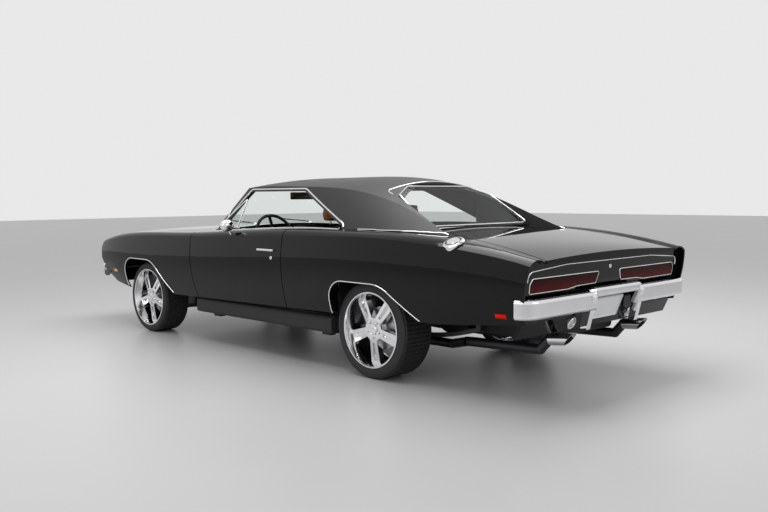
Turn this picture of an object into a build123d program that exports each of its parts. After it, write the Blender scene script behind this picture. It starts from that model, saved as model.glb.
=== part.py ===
"""Two-door hardtop muscle car: body panels, glass, cabin, running gear and wheels as separate pieces.

Frame: millimetres, X forward, Y to the car's left, Z up, origin on the ground at mid length.
"""
from build123d import *
import os
from math import cos, pi, radians, sin

# Overall sizes
LENGTH = 5260.0
HALF_LENGTH = LENGTH / 2
WHEELBASE = 2972.0
REAR_AXLE_X = -1257.0
FRONT_AXLE_X = REAR_AXLE_X + WHEELBASE

# Wheels and tyres
FRONT_TYRE_R, FRONT_TYRE_W, FRONT_WHEEL_Y = 318.0, 245.0, 745.0
REAR_TYRE_R, REAR_TYRE_W, REAR_WHEEL_Y = 334.0, 275.0, 735.0
RIM_LIP_R = 259.0
RIM_SEAT_R = 245.5
RIM_FLANGE_W = 8.0
RIM_LIP_INNER_R = 249.0
RIM_BARREL_R = 228.0
RIM_LIP_DEPTH = 62.0
TYRE_RIM_CLEARANCE = 0.3
SPOKES = 5
SPOKE_HUB_W, SPOKE_RIM_W = 62.0, 84.0
SPOKE_GROOVE_W, SPOKE_GROOVE_DEPTH = 20.0, 22.0
SPOKE_THICKNESS = 40.0
HUB_R, HUB_T = 78.0, 52.0
HUB_FACE_SET_BACK = 34.0
SPINDLE_R, SPINDLE_CLEARANCE, SPINDLE_DEPTH = 31.0, 0.05, 34.0
LUG_COUNT, LUG_PCD, LUG_HOLE_R = 5, 114.3, 9.0
CAP_R, CAP_HEIGHT = 34.0, 10.0

# Panel thickness and gaps
SKIN = 12.0
PANEL_GAP = 8.0
LID_GAP = 10.0
SEAT_GAP = 0.3
DOOR_INNER_Y = 800.0
GLASS = 6.0
ROOF_WALL = 26.0

# Lower body cross-sections from nose to tail; half widths and heights of each point up the side
# x, z_bottom, y_bottom, y_wide, z_wide, y_shoulder, z_shoulder, y_top, z_top, z_crown
BODY_STATIONS = [
    (2640, 420, 790, 866, 680, 850, 785, 790, 815, 838),
    (2250, 390, 842, 910, 672, 888, 848, 820, 883, 915),
    (1715, 360, 866, 934, 665, 905, 886, 835, 918, 952),
    (950, 352, 872, 944, 668, 918, 903, 850, 936, 985),
    (200, 356, 876, 948, 678, 926, 925, 862, 974, 1014),
    (-500, 372, 882, 956, 690, 938, 948, 858, 1004, 1036),
    (-1257, 410, 896, 972, 702, 952, 966, 836, 996, 1032),
    (-1800, 438, 893, 966, 702, 948, 944, 800, 976, 990),
    (-2300, 478, 882, 948, 692, 932, 894, 785, 920, 938),
    (-2640, 508, 868, 930, 682, 915, 832, 785, 858, 880),
]
SHOULDER_BULGE = 0.16
INNER_DROP = 150.0

# Side-view outline that trims the nose and the tail
NOSE_OUTLINE = [(2545, 1100), (2545, 850), (2612, 745), (2600, 640), (2490, 520), (2330, 425), (1960, 372)]
TAIL_OUTLINE = [(-1900, 442), (-2545, 498), (-2604, 845), (-2604, 1100)]

# Wheel openings in side view: x from the axle, z; then the fillet radius at each corner
FRONT_ARCH = [(300, 200, 0), (350, 440, 60), (328, 667, 150), (-190, 667, 260), (-600, 290, 60), (-600, 200, 0)]
REAR_ARCH = [(245, 200, 0), (338, 440, 60), (318, 656, 150), (-190, 656, 260), (-545, 400, 60), (-600, 200, 0)]
ARCH_INNER_Y = 560.0

# Doors
DOOR_FRONT_X, DOOR_REAR_X = 882.0, -396.0
DOOR_BOTTOM_Z = 392.0
DOOR_SIDE = [(900, 1100), (822, DOOR_BOTTOM_Z), (-480, DOOR_BOTTOM_Z), (-480, 1100)]
DOOR_REAR_SLANT = 16.0
DOOR_FRONT_SLANT, DOOR_EDGE_Y = 0.174, 944.0
DOOR_HINGE_X, DOOR_HINGE_Y = 996.0, 892.0
# height of each hinge, and how far behind its pin the arm turns out into the door
DOOR_HINGES = [(520.0, 196.0), (790.0, 160.0)]
HINGE_PIN_R, HINGE_CLEARANCE, HINGE_BARREL_R, HINGE_BARREL_H = 4.0, 0.05, 7.0, 50.0

# Hood and trunk lid outlines in plan (x, half width), and their hinges
HOOD_OUTLINE = [(965, 712), (2500, 690)]
LID_OUTLINE = [(-1700, 556), (-1985, 664), (-2700, 770)]
HOOD_HINGE_X, HOOD_HINGE_Y, HOOD_HINGE_Z = 845.0, 600.0, 941.0
LID_HINGE_X, LID_HINGE_Y, LID_HINGE_Z = -1590.0, 430.0, 968.0
HINGE_ARM_R, HINGE_STRAP_W, HINGE_EAR, HINGE_ARM_DROP, DOOR_ARM_DROP = 6.0, 30.0, 10.0, 105.0, 145.0
# Fixed top panels in plan (x, half width)
COWL_PLAN = [(700, 790), (888, 790), (888, 720), (955, 720)]
DECK_PLAN = [(-1470, 564), (-1690, 564)]

# Greenhouse cross-sections: x, y_base, z_base, y_rail, z_rail, z_crown
ROOF_STATIONS = [
    (430, 786, 900, 632, 1306, 1352),
    (0, 830, 900, 648, 1318, 1386),
    (-500, 850, 900, 646, 1306, 1388),
    (-1080, 844, 900, 612, 1236, 1336),
    (-1500, 812, 900, 612, 1095, 1176),
    (-1985, 726, 900, 704, 945, 954),
]
WINDSHIELD_BASE = (885, 790, 800, 775, 842, 985)
SIDE_BULGE = 0.035

# Side window opening in side view, then the windscreen opening in front view
SIDE_WINDOW = [(705, 930, 0), (352, 1276, 20), (-350, 1276, 90), (-905, 1020, 36), (-885, 930, 0)]
WINDSCREEN_OPENING = [(752, 940), (574, 1322)]
TUNNEL_PLAN = [(-1075, 500), (-1985, 700)]
REAR_GLASS_TOP, REAR_GLASS_BASE = (-1085, 1312), (-1520, 1018)

# Vent window on the door in side view, and its lean in front view; door mirror; door handle
VENT_SIDE = [(659, 940), (378, 1218, 5), (364, 1218, 5), (329, 940)]
VENT_LEAN = [(830, 940), (842, 940), (675, 1240), (663, 1240)]
MIRROR_AT = (275.0, 962.0, 1010.0)
MIRROR_HALF = (38.0, 62.0, 48.0)
MIRROR_STEM_R = 12.0
HANDLE_X, HANDLE_Y, HANDLE_Z = (-322.0, -122.0), 962.0, 838.0

# Nose and tail pieces in side view (x, z)
GRILLE_SIDE = [(2520, 795), (2548, 750), (2536, 640), (2500, 565), (2470, 565), (2506, 640), (2518, 750), (2492, 795)]
GRILLE_SLOT_Z, GRILLE_SLOT_H, GRILLE_SLOT_Y = (612, 640, 668, 696, 724, 752), 14.0, (40.0, 730.0)
VALANCE_SIDE = [(2452, 535), (2430, 500), (2305, 425), (2293, 440), (2411, 512), (2430, 535)]
TAIL_SIDE = [(-2562, 836), (-2514, 500), (-2470, 408), (-2440, 408), (-2484, 500), (-2532, 836)]
TAIL_TOP_SIDE = [(-2571, 900), (-2561, 830), (-2531, 830), (-2541, 900)]
LID_LIP_SIDE = [(-2640, 847), (-2580, 847), (-2574, 905), (-2640, 905)]
LAMP_PROUD, LAMP_DEEP = 6.0, 14.0
TAIL_LAMP = [(836, 680), (838, 728), (818, 757), (130, 757), (152, 694), (350, 692), (450, 680)]
PLATE_SIDE, PLATE_HALF = [(-2549, 604), (-2549, 575), (-2502, 462), (-2480, 462), (-2500, 604)], 150.0
PLATE_HOLE_Y, PLATE_HOLE_Z, PLATE_HOLE_R = 88.9, 590.0, 3.5
# bumper bars: x at the middle, x and y at the corner, x and y at the end, z, depth, height
FRONT_BUMPER = (2600, 2556, 770, 2420, 905, 536, 60, 118)
REAR_BUMPER = (-2594, -2590, 830, -2512, 922, 592, 56, 118)
RAISED_HALF, RAISED_Z, RAISED_T = 262.0, (616.0, 672.0), 60.0
GUARD_Y, GUARD_W = 285.0, 44.0
GUARD_SIDE = [(-2600, 662), (-HALF_LENGTH, 616), (-2580, 415), (-2538, 415), (-2575, 662)]
# side markers: x low, x high, z low, z high
FRONT_MARKER = (2235, 2320, 522, 550)
REAR_MARKER = (-2432, -2356, 530, 556)
MARKER_PROUD = 4.0
FILLER_AT, FILLER_TOP, FILLER_R = (-2030.0, 885.0, 922.0), (-2030.0, 903.0, 962.0), 62.0

# Floor in side view (x, z of its top), wheel houses and sills
FLOOR_LINE = [(895, 310), (-640, 310), (-960, 540), (-2480, 540)]
FLOOR_HALF, REAR_FLOOR_HALF = 796.0, 572.0
SILL_Y, SILL_Z = (770.0, 868.0), (262.0, 384.0)
SILL_X, SILL_ROUND = (-860.0, 888.0), 30.0
JACK_PADS_X, JACK_PAD_Y, JACK_PAD, JACK_PAD_DROP = (640.0, -760.0), 805.0, (90.0, 50.0), 20.0
TUNNEL_HALF, TUNNEL_TOP, TUNNEL_T, TUNNEL_FRONT, TUNNEL_BACK = 160.0, 580.0, 15.0, 895.0, -1120.0
HOUSE_T, HOUSE_OUTER_Y = 12.0, 925.0
WHEELHOUSE_X, WHEELHOUSE_TOP = (-1650.0, -868.0), 712.0

FLOOR_TOP, FLOOR_T = 310.0, 25.0

# Running gear
KINGPIN_Y, KINGPIN_R, KINGPIN_CLEARANCE = 690.0, 12.0, 0.05
POST_R, POST_HALF = 30.0, 104.0
FLANGE_R, FLANGE_REACH = 52.0, 44.0
ARM_T, ARM_GAP = 18.0, 6.0
FRONT_RAIL_X, FRONT_RAIL_Y, FRONT_RAIL_Z = 2298.0, (350.0, 410.0), (446.3, 540.0)
AXLE_R, DIFF_R = 40.0, 128.0
SPRING_Y, SPRING_W, SPRING_T = 530.0, 60.0, 28.0
SPRING_HANGERS = [
    [(-800, 330), (-760, 330), (-760, 370.9), (-800, 399.7)],
    [(-1960, 375), (-1925, 375), (-1925, 514.7), (-1960, 514.7)],
]
ENGINE = (1010, 1690, -255, 255, 330, 800)
GEARBOX = (330, 1012, -125, 125, 345, 540)
GEARBOX_FOOT, GEARBOX_MEMBER = (560, 620, -90, 90, 270, 350), (560, 620, -260, 260, 270, 284.7)
SHAFT_R = 38.0
TANK = (-2330, -1800, -430, 430, 325, 514.7)
EXHAUST_R, EXHAUST_JOINT_R = 32.0, 33.0
EXHAUST_LINE = [(1250, 200, 235), (-520, 200, 235), (-900, 300, 200), (-1500, 300, 200), (-1760, 440, 265),
                (-2340, 440, 283), (-2405, 436, 354), (-2495, 432, 363)]
MUFFLER = (-480, -80, 165, 300, 178, 284.7)

# Cabin
SEAT_Y, SEAT_HALF = 402.0, 235.0
DASH_SIDE = [(822, 925), (720, 945), (690, 900), (700, 760), (760, 700), (822, 700)]
WHEEL_AT, WHEEL_R, WHEEL_RIM_R, WHEEL_TILT = (420.0, 370.0, 900.0), 190.0, 13.0, 24.0
COLUMN_R, COLUMN_PIN_R = 28.0, 12.0


def polygon_face(points):
    """Flat face through 3-D points."""
    return Face(Wire.make_polygon([Vector(*p) for p in points], close=True))


def plan_prism(points, z_low=0.0, z_high=1700.0):
    """Upright prism on an outline of (x, y)."""
    face = polygon_face([(x, y, z_low) for x, y in points])
    return Solid.extrude(face, Vector(0, 0, z_high - z_low))


def side_prism(points, y_low=-1300.0, y_high=1300.0):
    """Prism across the car on an outline of (x, z) or (x, z, corner radius)."""
    face = polygon_face([(p[0], y_low, p[1]) for p in points])
    for p in points:
        if len(p) > 2 and p[2] > 0:
            corner = face.vertices().sort_by_distance(Vector(p[0], y_low, p[1]))[0]
            face = face.fillet_2d(p[2], [corner])
    return Solid.extrude(face, Vector(0, y_high - y_low, 0))


def slanted_prism(points, y_low, y_high, slant, y_true):
    """Prism across the car whose outline of (x, z) is true at y_true and moves back by slant towards the middle."""
    face = polygon_face([(x + slant * (y_high - y_true), y_high, z) for x, z in points])
    reach = y_high - y_low
    return Solid.extrude(face, Vector(-slant * reach, -reach, 0))


def front_prism(points, x_low, x_high):
    """Prism along the car on an outline of (y, z)."""
    face = polygon_face([(x_low, y, z) for y, z in points])
    return Solid.extrude(face, Vector(x_high - x_low, 0, 0))


def block(x_low, x_high, y_low, y_high, z_low, z_high):
    """Box between two corners."""
    size = (x_high - x_low, y_high - y_low, z_high - z_low)
    centre = ((x_low + x_high) / 2, (y_low + y_high) / 2, (z_low + z_high) / 2)
    return Pos(*centre) * Box(*size)


def rod(start, end, radius):
    """Round bar between two points."""
    a, b = Vector(*start), Vector(*end)
    plane = Plane(origin=a, z_dir=(b - a).normalized())
    return plane * Cylinder(radius, (b - a).length, align=(Align.CENTER, Align.CENTER, Align.MIN))


def other_side(shape):
    """The same piece on the car's other side."""
    return mirror(shape, about=Plane.XZ)


def both_sides(shape):
    """A piece and its mirror image as one compound."""
    return Compound(children=[*shape.solids(), *other_side(shape).solids()])


def bulged(a, b, share):
    """Point beside the middle of a chord, moved out by a share of its length."""
    middle = (a + b) / 2
    along = b - a
    return middle + Vector(0, along.Z, -along.Y) * share


def body_section(station, inset=0.0, drop=0.0):
    """Closed body cross-section at one station, with every wall moved in by inset."""
    x, zb, yb, yw, zw, ys, zs, yt, zt, zc = station
    bottom = Vector(x, yb - inset, zb)
    foot = Vector(x, yb - inset, zb - drop)
    wide = Vector(x, yw - inset, zw)
    shoulder = Vector(x, ys - inset, zs - inset * 0.45)
    top = Vector(x, yt - inset * 0.6, zt - inset)
    crown = Vector(x, 0, zc - inset)
    side = [(bottom, wide, shoulder), (shoulder, bulged(shoulder, top, SHOULDER_BULGE), top)]
    flip = lambda p: Vector(p.X, -p.Y, p.Z)
    edges = [Edge.make_line(flip(foot), foot)]
    if drop:
        edges = [Edge.make_line(flip(bottom), flip(foot)), *edges, Edge.make_line(foot, bottom)]
    edges += [Edge.make_three_point_arc(*arc) for arc in side]
    edges.append(Edge.make_three_point_arc(top, crown, flip(top)))
    edges += [Edge.make_three_point_arc(flip(c), flip(b), flip(a)) for a, b, c in reversed(side)]
    return Wire(edges)


def roof_section(station, inset=0.0):
    """Closed greenhouse cross-section at one station."""
    x, yb, zb, yr, zr, zc = station
    base = Vector(x, yb - inset, zb - inset)
    rail = Vector(x, yr - inset * 0.8, zr - inset * 0.6)
    crown = Vector(x, 0, zc - inset)
    flip = lambda p: Vector(p.X, -p.Y, p.Z)
    through = bulged(base, rail, SIDE_BULGE)
    return Wire([
        Edge.make_line(flip(base), base),
        Edge.make_three_point_arc(base, through, rail),
        Edge.make_three_point_arc(rail, crown, flip(rail)),
        Edge.make_three_point_arc(flip(rail), flip(through), flip(base)),
    ])


def body_loft(inset=0.0, drop=0.0):
    return Solid.make_loft([body_section(s, inset, drop) for s in BODY_STATIONS])


def roof_loft(inset=0.0):
    """Roof from the header to the sail panels' ends, joined to the windscreen wedge."""
    roof = Solid.make_loft([roof_section(s, inset) for s in ROOF_STATIONS])
    wedge = Solid.make_loft([roof_section(WINDSHIELD_BASE, inset), roof_section(ROOF_STATIONS[0], inset)], ruled=True)
    return roof, wedge


def mirrored_plan(outline, grow_ends=0.0, grow_sides=0.0, z_low=300.0):
    """Upright prism on a plan outline of (x, half width), grown for a gap."""
    way = 1 if outline[-1][0] > outline[0][0] else -1
    points = [(x, y + grow_sides) for x, y in outline]
    points[0] = (points[0][0] - way * grow_ends, points[0][1])
    points[-1] = (points[-1][0] + way * grow_ends, points[-1][1])
    return plan_prism(points + [(x, -y) for x, y in reversed(points)], z_low)


def band(points, half):
    """Outline of a flat bar of a given half width along a line of points, with mitred corners."""
    line = [Vector(*p) for p in points]
    sides = ([], [])
    for k, here in enumerate(line):
        before = (here - line[k - 1]).normalized() if k else (line[1] - here).normalized()
        after = (line[k + 1] - here).normalized() if k + 1 < len(line) else before
        middle = (before + after).normalized()
        across = Vector(-middle.Y, middle.X) * (half / middle.dot(before))
        sides[0].append(here + across)
        sides[1].append(here - across)
    return [(p.X, p.Y) for p in sides[0] + sides[1][::-1]]


def hinge_arm(strap, axis_point, axis_dir):
    """Gooseneck strap with a barrel bored for the pin."""
    a, d = Vector(*axis_point), Vector(*axis_dir)
    half = d * (HINGE_BARREL_H / 2)
    arm = strap + rod(tuple(a - half), tuple(a + half), HINGE_BARREL_R)
    return arm - rod(tuple(a - half * 2), tuple(a + half * 2), HINGE_PIN_R + HINGE_CLEARANCE)


def lid_strap(x, y, z, way, reach):
    """Strap of a hood or lid hinge: from the panel down, along and up to the pin, in the plane at y."""
    path = [(x + way * reach, z + 100), (x + way * reach, z - HINGE_ARM_DROP), (x + way * 30, z - HINGE_ARM_DROP), (x, z)]
    strap = side_prism(band(path, HINGE_ARM_R), y - HINGE_STRAP_W / 2, y + HINGE_STRAP_W / 2)
    return hinge_arm(strap & body_loft(SKIN / 2), (x, y, z), (0, 1, 0))


def hinge_pin(axis_point, axis_dir):
    """Fixed pin of a hinge, long enough for an ear at each end."""
    a, d = Vector(*axis_point), Vector(*axis_dir)
    half = d * (HINGE_BARREL_H / 2 + 4 + HINGE_EAR)
    return rod(tuple(a - half), tuple(a + half), HINGE_PIN_R)


def bumper_bar(x_mid, x_corner, y_corner, x_end, y_end, z, depth, height):
    """Bar swept around one end of the car in plan, with a well rounded section."""
    corners = [Vector(x_corner, side * y_corner, z) for side in (-1, 1)]
    ends = [Vector(x_end, side * y_end, z) for side in (-1, 1)]
    middle = Edge.make_three_point_arc(corners[0], Vector(x_mid, 0, z), corners[1])
    left_end = Edge.make_tangent_arc(corners[1], middle.tangent_at(1), ends[1])
    right_end = Edge.make_tangent_arc(corners[0], middle.tangent_at(0) * -1, ends[0])
    path = Wire([right_end, middle, left_end])
    plane = Plane(origin=path @ 0, x_dir=(0, 0, 1), z_dir=path % 0)
    return sweep(plane * RectangleRounded(height, depth, depth * 0.42), path)


def ring(points):
    """Solid of revolution about the wheel axle from (axial, radius) points joined by lines or arcs.

    A point given as (axial, radius, True) is a point that an arc passes through.
    """
    edges = []
    closed = list(points) + [points[0]]
    k = 0
    while k < len(closed) - 1:
        here = Vector(0, closed[k][0], closed[k][1])
        if len(closed[k + 1]) > 2:
            through = Vector(0, closed[k + 1][0], closed[k + 1][1])
            end = Vector(0, closed[k + 2][0], closed[k + 2][1])
            edges.append(Edge.make_three_point_arc(here, through, end))
            k += 2
        else:
            edges.append(Edge.make_line(here, Vector(0, closed[k + 1][0], closed[k + 1][1])))
            k += 1
    return revolve(Face(Wire(edges)), Axis.Y, 360)


def tyre(radius, width):
    """Low tyre about the axle at the origin."""
    half = width / 2
    bead = rim_half(width) - RIM_FLANGE_W - TYRE_RIM_CLEARANCE
    seat = RIM_SEAT_R + TYRE_RIM_CLEARANCE
    lip = RIM_LIP_R + TYRE_RIM_CLEARANCE + 0.5
    right = [(bead, seat), (bead, lip), (half, (lip + radius) / 2 - 2, True), (half - 9, radius - 9),
             (half - 14, radius - 3, True), (half - 23, radius - 1)]
    left = [(-p[0], *p[1:]) for p in reversed(right)]
    return ring(right + [(0, radius, True)] + left)


def rim(width):
    """Five-spoke wheel about the axle at the origin, its face towards +Y, with a blind bore for the spindle."""
    half = rim_half(width)
    hub_a, rim_a = half - HUB_FACE_SET_BACK, half - RIM_LIP_DEPTH
    inside = half - RIM_FLANGE_W
    barrel = ring([(half, RIM_LIP_INNER_R), (half, RIM_LIP_R), (inside, RIM_LIP_R), (inside, RIM_SEAT_R), (-inside, RIM_SEAT_R),
                   (-inside, RIM_LIP_R), (-half, RIM_LIP_R), (-half, RIM_LIP_INNER_R), (-half + 30, RIM_BARREL_R + 6), (rim_a, RIM_BARREL_R)])
    dish_points = [(hub_a, HUB_R - 6), (rim_a + 4, RIM_BARREL_R + 8)]
    dish = ring([(hub_a, 0)] + dish_points + [(rim_a - SPOKE_THICKNESS, RIM_BARREL_R + 8), (hub_a - HUB_T, HUB_R), (hub_a - HUB_T, 0)])
    under_groove = ring([(hub_a - SPOKE_GROOVE_DEPTH, 0)] + [(a - SPOKE_GROOVE_DEPTH, r) for a, r in dish_points]
                        + [(-half, RIM_BARREL_R + 8), (-half, 0)])
    hub = dish & Rot(-90, 0, 0) * Cylinder(HUB_R, 600)
    wheel = barrel + hub
    for k in range(SPOKES):
        turn = Rot(0, 90 + k * 360 / SPOKES, 0)
        outline = [(HUB_R - 26, SPOKE_HUB_W / 2), (RIM_BARREL_R + 6, SPOKE_RIM_W / 2), (RIM_BARREL_R + 6, -SPOKE_RIM_W / 2), (HUB_R - 26, -SPOKE_HUB_W / 2)]
        groove = [(HUB_R + 14, SPOKE_GROOVE_W / 2), (RIM_BARREL_R - 12, SPOKE_GROOVE_W / 2 + 8), (RIM_BARREL_R - 12, -SPOKE_GROOVE_W / 2 - 8), (HUB_R + 14, -SPOKE_GROOVE_W / 2)]
        spoke = (side_prism(outline, -300, 300) & dish) - (side_prism(groove, -300, 300) - under_groove)
        wheel = wheel + turn * spoke
    wheel = wheel + Pos(0, hub_a + CAP_HEIGHT / 2, 0) * Rot(-90, 0, 0) * Cylinder(CAP_R, CAP_HEIGHT)
    for k in range(LUG_COUNT):
        angle = 2 * pi * (k + 0.5) / LUG_COUNT + pi / 2
        x, z = LUG_PCD / 2 * cos(angle), LUG_PCD / 2 * sin(angle)
        wheel = wheel - rod((x, hub_a - 8, z), (x, hub_a + 60, z), LUG_HOLE_R)
    return wheel - rod((0, -300, 0), (0, spindle_end(width) + 2, 0), SPINDLE_R + SPINDLE_CLEARANCE)


def rim_half(tyre_width):
    """Half width over the rim's flanges."""
    return tyre_width / 2 - 1.5


def spindle_end(tyre_width):
    """How far out a spindle reaches from the wheel's middle plane."""
    return rim_half(tyre_width) - HUB_FACE_SET_BACK - HUB_T + SPINDLE_DEPTH


parts = {}
outer = body_loft() & side_prism(NOSE_OUTLINE + TAIL_OUTLINE)
inner = body_loft(SKIN, INNER_DROP)
skin = outer - inner
clear_outer = body_loft(-SEAT_GAP) & side_prism(NOSE_OUTLINE + TAIL_OUTLINE)
clear_inner = body_loft(SKIN + SEAT_GAP, INNER_DROP)
front_arch = side_prism([(FRONT_AXLE_X + x, z, r) for x, z, r in FRONT_ARCH], ARCH_INNER_Y, 1300)
rear_arch = side_prism([(REAR_AXLE_X + x, z, r) for x, z, r in REAR_ARCH], ARCH_INNER_Y, 1300)

# Hood, trunk lid and the fixed top panels between them and the cabin
hood_skin = skin & mirrored_plan(HOOD_OUTLINE)
hood_hole = mirrored_plan(HOOD_OUTLINE, LID_GAP, LID_GAP)
lid_skin = skin & mirrored_plan(LID_OUTLINE)
lid_hole = mirrored_plan(LID_OUTLINE, LID_GAP, LID_GAP)
hood_arm = lid_strap(HOOD_HINGE_X, HOOD_HINGE_Y, HOOD_HINGE_Z, 1, 160)
parts["hood"] = hood_skin + hood_arm + other_side(hood_arm)
lid_arm = lid_strap(LID_HINGE_X, LID_HINGE_Y, LID_HINGE_Z, -1, 150)
lid_lip = outer & side_prism(LID_LIP_SIDE) & mirrored_plan(LID_OUTLINE)
parts["trunk_lid"] = lid_skin + lid_lip + lid_arm + other_side(lid_arm)

cowl_plan = plan_prism(COWL_PLAN + [(x, -y) for x, y in reversed(COWL_PLAN)], 600)
firewall = block(895, 915, -725, 725, FLOOR_TOP, 815) - block(880, 930, -160, 160, 0, 582)
cowl = (skin & cowl_plan) + firewall
for side in (-1, 1):
    y_low, y_high = sorted((side * FRONT_RAIL_Y[0], side * FRONT_RAIL_Y[1]))
    cowl = cowl + block(900, FRONT_RAIL_X, y_low, y_high, *FRONT_RAIL_Z)
for side in (-1, 1):
    ear_y = side * HOOD_HINGE_Y
    for offset in (HINGE_BARREL_H / 2 + 4, -HINGE_BARREL_H / 2 - 4 - HINGE_EAR):
        ear = block(HOOD_HINGE_X - 12, HOOD_HINGE_X + 60, ear_y + offset, ear_y + offset + HINGE_EAR, HOOD_HINGE_Z - 10, 1000)
        cowl = cowl + (ear & outer)
    cowl = cowl + hinge_pin((HOOD_HINGE_X, ear_y, HOOD_HINGE_Z), (0, 1, 0))
    post = block(905, 1030, 640, 725, FLOOR_TOP, 850)
    for height, _ in DOOR_HINGES:
        for offset in (HINGE_BARREL_H / 2 + 4, -HINGE_BARREL_H / 2 - 4 - HINGE_EAR):
            post = post + block(DOOR_HINGE_X - 2, DOOR_HINGE_X + 8, 720, DOOR_HINGE_Y + 6, height + offset,
                                height + offset + HINGE_EAR)
        post = post + hinge_pin((DOOR_HINGE_X, DOOR_HINGE_Y, height), (0, 0, 1))
    post = post + (block(895, 915, 645, 700, 800, 1000) & outer)
    cowl = cowl + (post if side > 0 else other_side(post))
parts["cowl_and_firewall"] = cowl

deck = skin & plan_prism([(x, y) for x, y in DECK_PLAN] + [(x, -y) for x, y in reversed(DECK_PLAN)], 600)
deck = deck + block(-1500, -1010, -555, 555, 930, 945) + (block(-1500, -1470, -555, 555, 930, 1040) & outer)
for side in (-1, 1):
    ear_y = side * LID_HINGE_Y
    for offset in (HINGE_BARREL_H / 2 + 4, -HINGE_BARREL_H / 2 - 4 - HINGE_EAR):
        ear = block(LID_HINGE_X - 12, LID_HINGE_X + 40, ear_y + offset, ear_y + offset + HINGE_EAR, LID_HINGE_Z - 10, 1060)
        deck = deck + (ear & outer)
    deck = deck + hinge_pin((LID_HINGE_X, ear_y, LID_HINGE_Z), (0, 1, 0))
parts["rear_deck"] = deck

# Sides: doors, front fenders and quarter panels
door_side = slanted_prism(DOOR_SIDE, DOOR_INNER_Y, 1300, DOOR_FRONT_SLANT, DOOR_EDGE_Y)
door_plan = plan_prism([(1200, 1300), (1200, DOOR_INNER_Y), (DOOR_REAR_X + DOOR_REAR_SLANT, DOOR_INNER_Y), (DOOR_REAR_X - 37, 1300)], 300)
door_arms = None
for height, reach in DOOR_HINGES:
    path = [(DOOR_HINGE_X - reach, DOOR_HINGE_Y - 70), (DOOR_HINGE_X - reach, DOOR_HINGE_Y - DOOR_ARM_DROP),
            (DOOR_HINGE_X - 30, DOOR_HINGE_Y - DOOR_ARM_DROP), (DOOR_HINGE_X, DOOR_HINGE_Y)]
    strap = plan_prism(band(path, HINGE_ARM_R), height - HINGE_STRAP_W / 2, height + HINGE_STRAP_W / 2)
    arm = hinge_arm(strap, (DOOR_HINGE_X, DOOR_HINGE_Y, height), (0, 0, 1))
    door_arms = arm if door_arms is None else door_arms + arm
door = (outer & door_side & door_plan) + door_arms
parts["door_left"] = door
fender_region = slanted_prism([(DOOR_SIDE[0][0] + PANEL_GAP, 1100), (DOOR_SIDE[1][0] + PANEL_GAP, DOOR_BOTTOM_Z),
                               (DOOR_SIDE[1][0] + PANEL_GAP, 200), (2800, 200), (2800, 1100)], 500, 1300, DOOR_FRONT_SLANT, DOOR_EDGE_Y)
header = skin & block(2500 + LID_GAP, 2800, -HOOD_OUTLINE[1][1] - LID_GAP, HOOD_OUTLINE[1][1] + LID_GAP, 700, 1200)
fender = (skin & fender_region) - front_arch - hood_hole - cowl_plan - block(2500, 2800, -1, HOOD_OUTLINE[1][1] + LID_GAP, 700, 1200)
parts["front_fender_left"] = fender
quarter_plan = plan_prism([(DOOR_REAR_X - 37 - PANEL_GAP, 1300), (DOOR_REAR_X + DOOR_REAR_SLANT - PANEL_GAP, DOOR_INNER_Y),
                           (DOOR_REAR_X + DOOR_REAR_SLANT - PANEL_GAP, 0), (-2800, 0), (-2800, 1300)], 200)
wall = outer & block(-855, 0, DOOR_INNER_Y, 1300, DOOR_BOTTOM_Z, 1300) & quarter_plan
cabin_cut = plan_prism([(0, -10), (0, DOOR_INNER_Y), (-1060, DOOR_INNER_Y), (-1060, 500), (-1470, DECK_PLAN[0][1]),
                        (DECK_PLAN[1][0] - 1, DECK_PLAN[1][1]), (DECK_PLAN[1][0] - 1, -10)], 700)
quarter = (skin & quarter_plan) + wall - cabin_cut - rear_arch - lid_hole
parts["quarter_panel_left"] = quarter

# Roof with its pillars and sail panels, and the glass
roof_outer, wedge_outer = roof_loft()
roof_inner, wedge_inner = roof_loft(ROOF_WALL)
wedge_glass_inner = roof_loft(GLASS)[1]
cabin_plan = plan_prism([(1000, -820), (1000, 820), (-1060, 820), (-1060, 490), (-1540, 560), (-1540, -560), (-1060, -490), (-1060, -820)], 300)
cavity = roof_inner & cabin_plan
wedge_skin = wedge_outer - wedge_inner
windscreen_hole = front_prism([(WINDSCREEN_OPENING[0][0], 900), WINDSCREEN_OPENING[1], (-WINDSCREEN_OPENING[1][0], WINDSCREEN_OPENING[1][1]),
                               (-WINDSCREEN_OPENING[0][0], 900)], 400, 1000)
tunnel = plan_prism(TUNNEL_PLAN + [(x, -y) for x, y in reversed(TUNNEL_PLAN)], 700) & side_prism(
    [(-1040, REAR_GLASS_TOP[1] + 30 - 12), (REAR_GLASS_BASE[0], REAR_GLASS_BASE[1] - 12), (-2100, 900), (-2100, 1700), (-1040, 1700)])
shell = (roof_outer - cavity - tunnel) + (wedge_skin - windscreen_hole)
side_cut = side_prism(SIDE_WINDOW)
low_cut = block(SIDE_WINDOW[-1][0], 900, 792, 1300, 700, 1010)
low_cut = low_cut + other_side(low_cut)
shell = shell - side_cut - low_cut - clear_outer
parts["roof_and_pillars"] = shell
screen = (wedge_outer - wedge_glass_inner) & front_prism(
    [(WINDSCREEN_OPENING[0][0] - SEAT_GAP, 900), (WINDSCREEN_OPENING[1][0] - SEAT_GAP, WINDSCREEN_OPENING[1][1] - SEAT_GAP),
     (SEAT_GAP - WINDSCREEN_OPENING[1][0], WINDSCREEN_OPENING[1][1] - SEAT_GAP), (SEAT_GAP - WINDSCREEN_OPENING[0][0], 900)], 400, 1000)
parts["windscreen"] = screen - clear_outer
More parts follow.
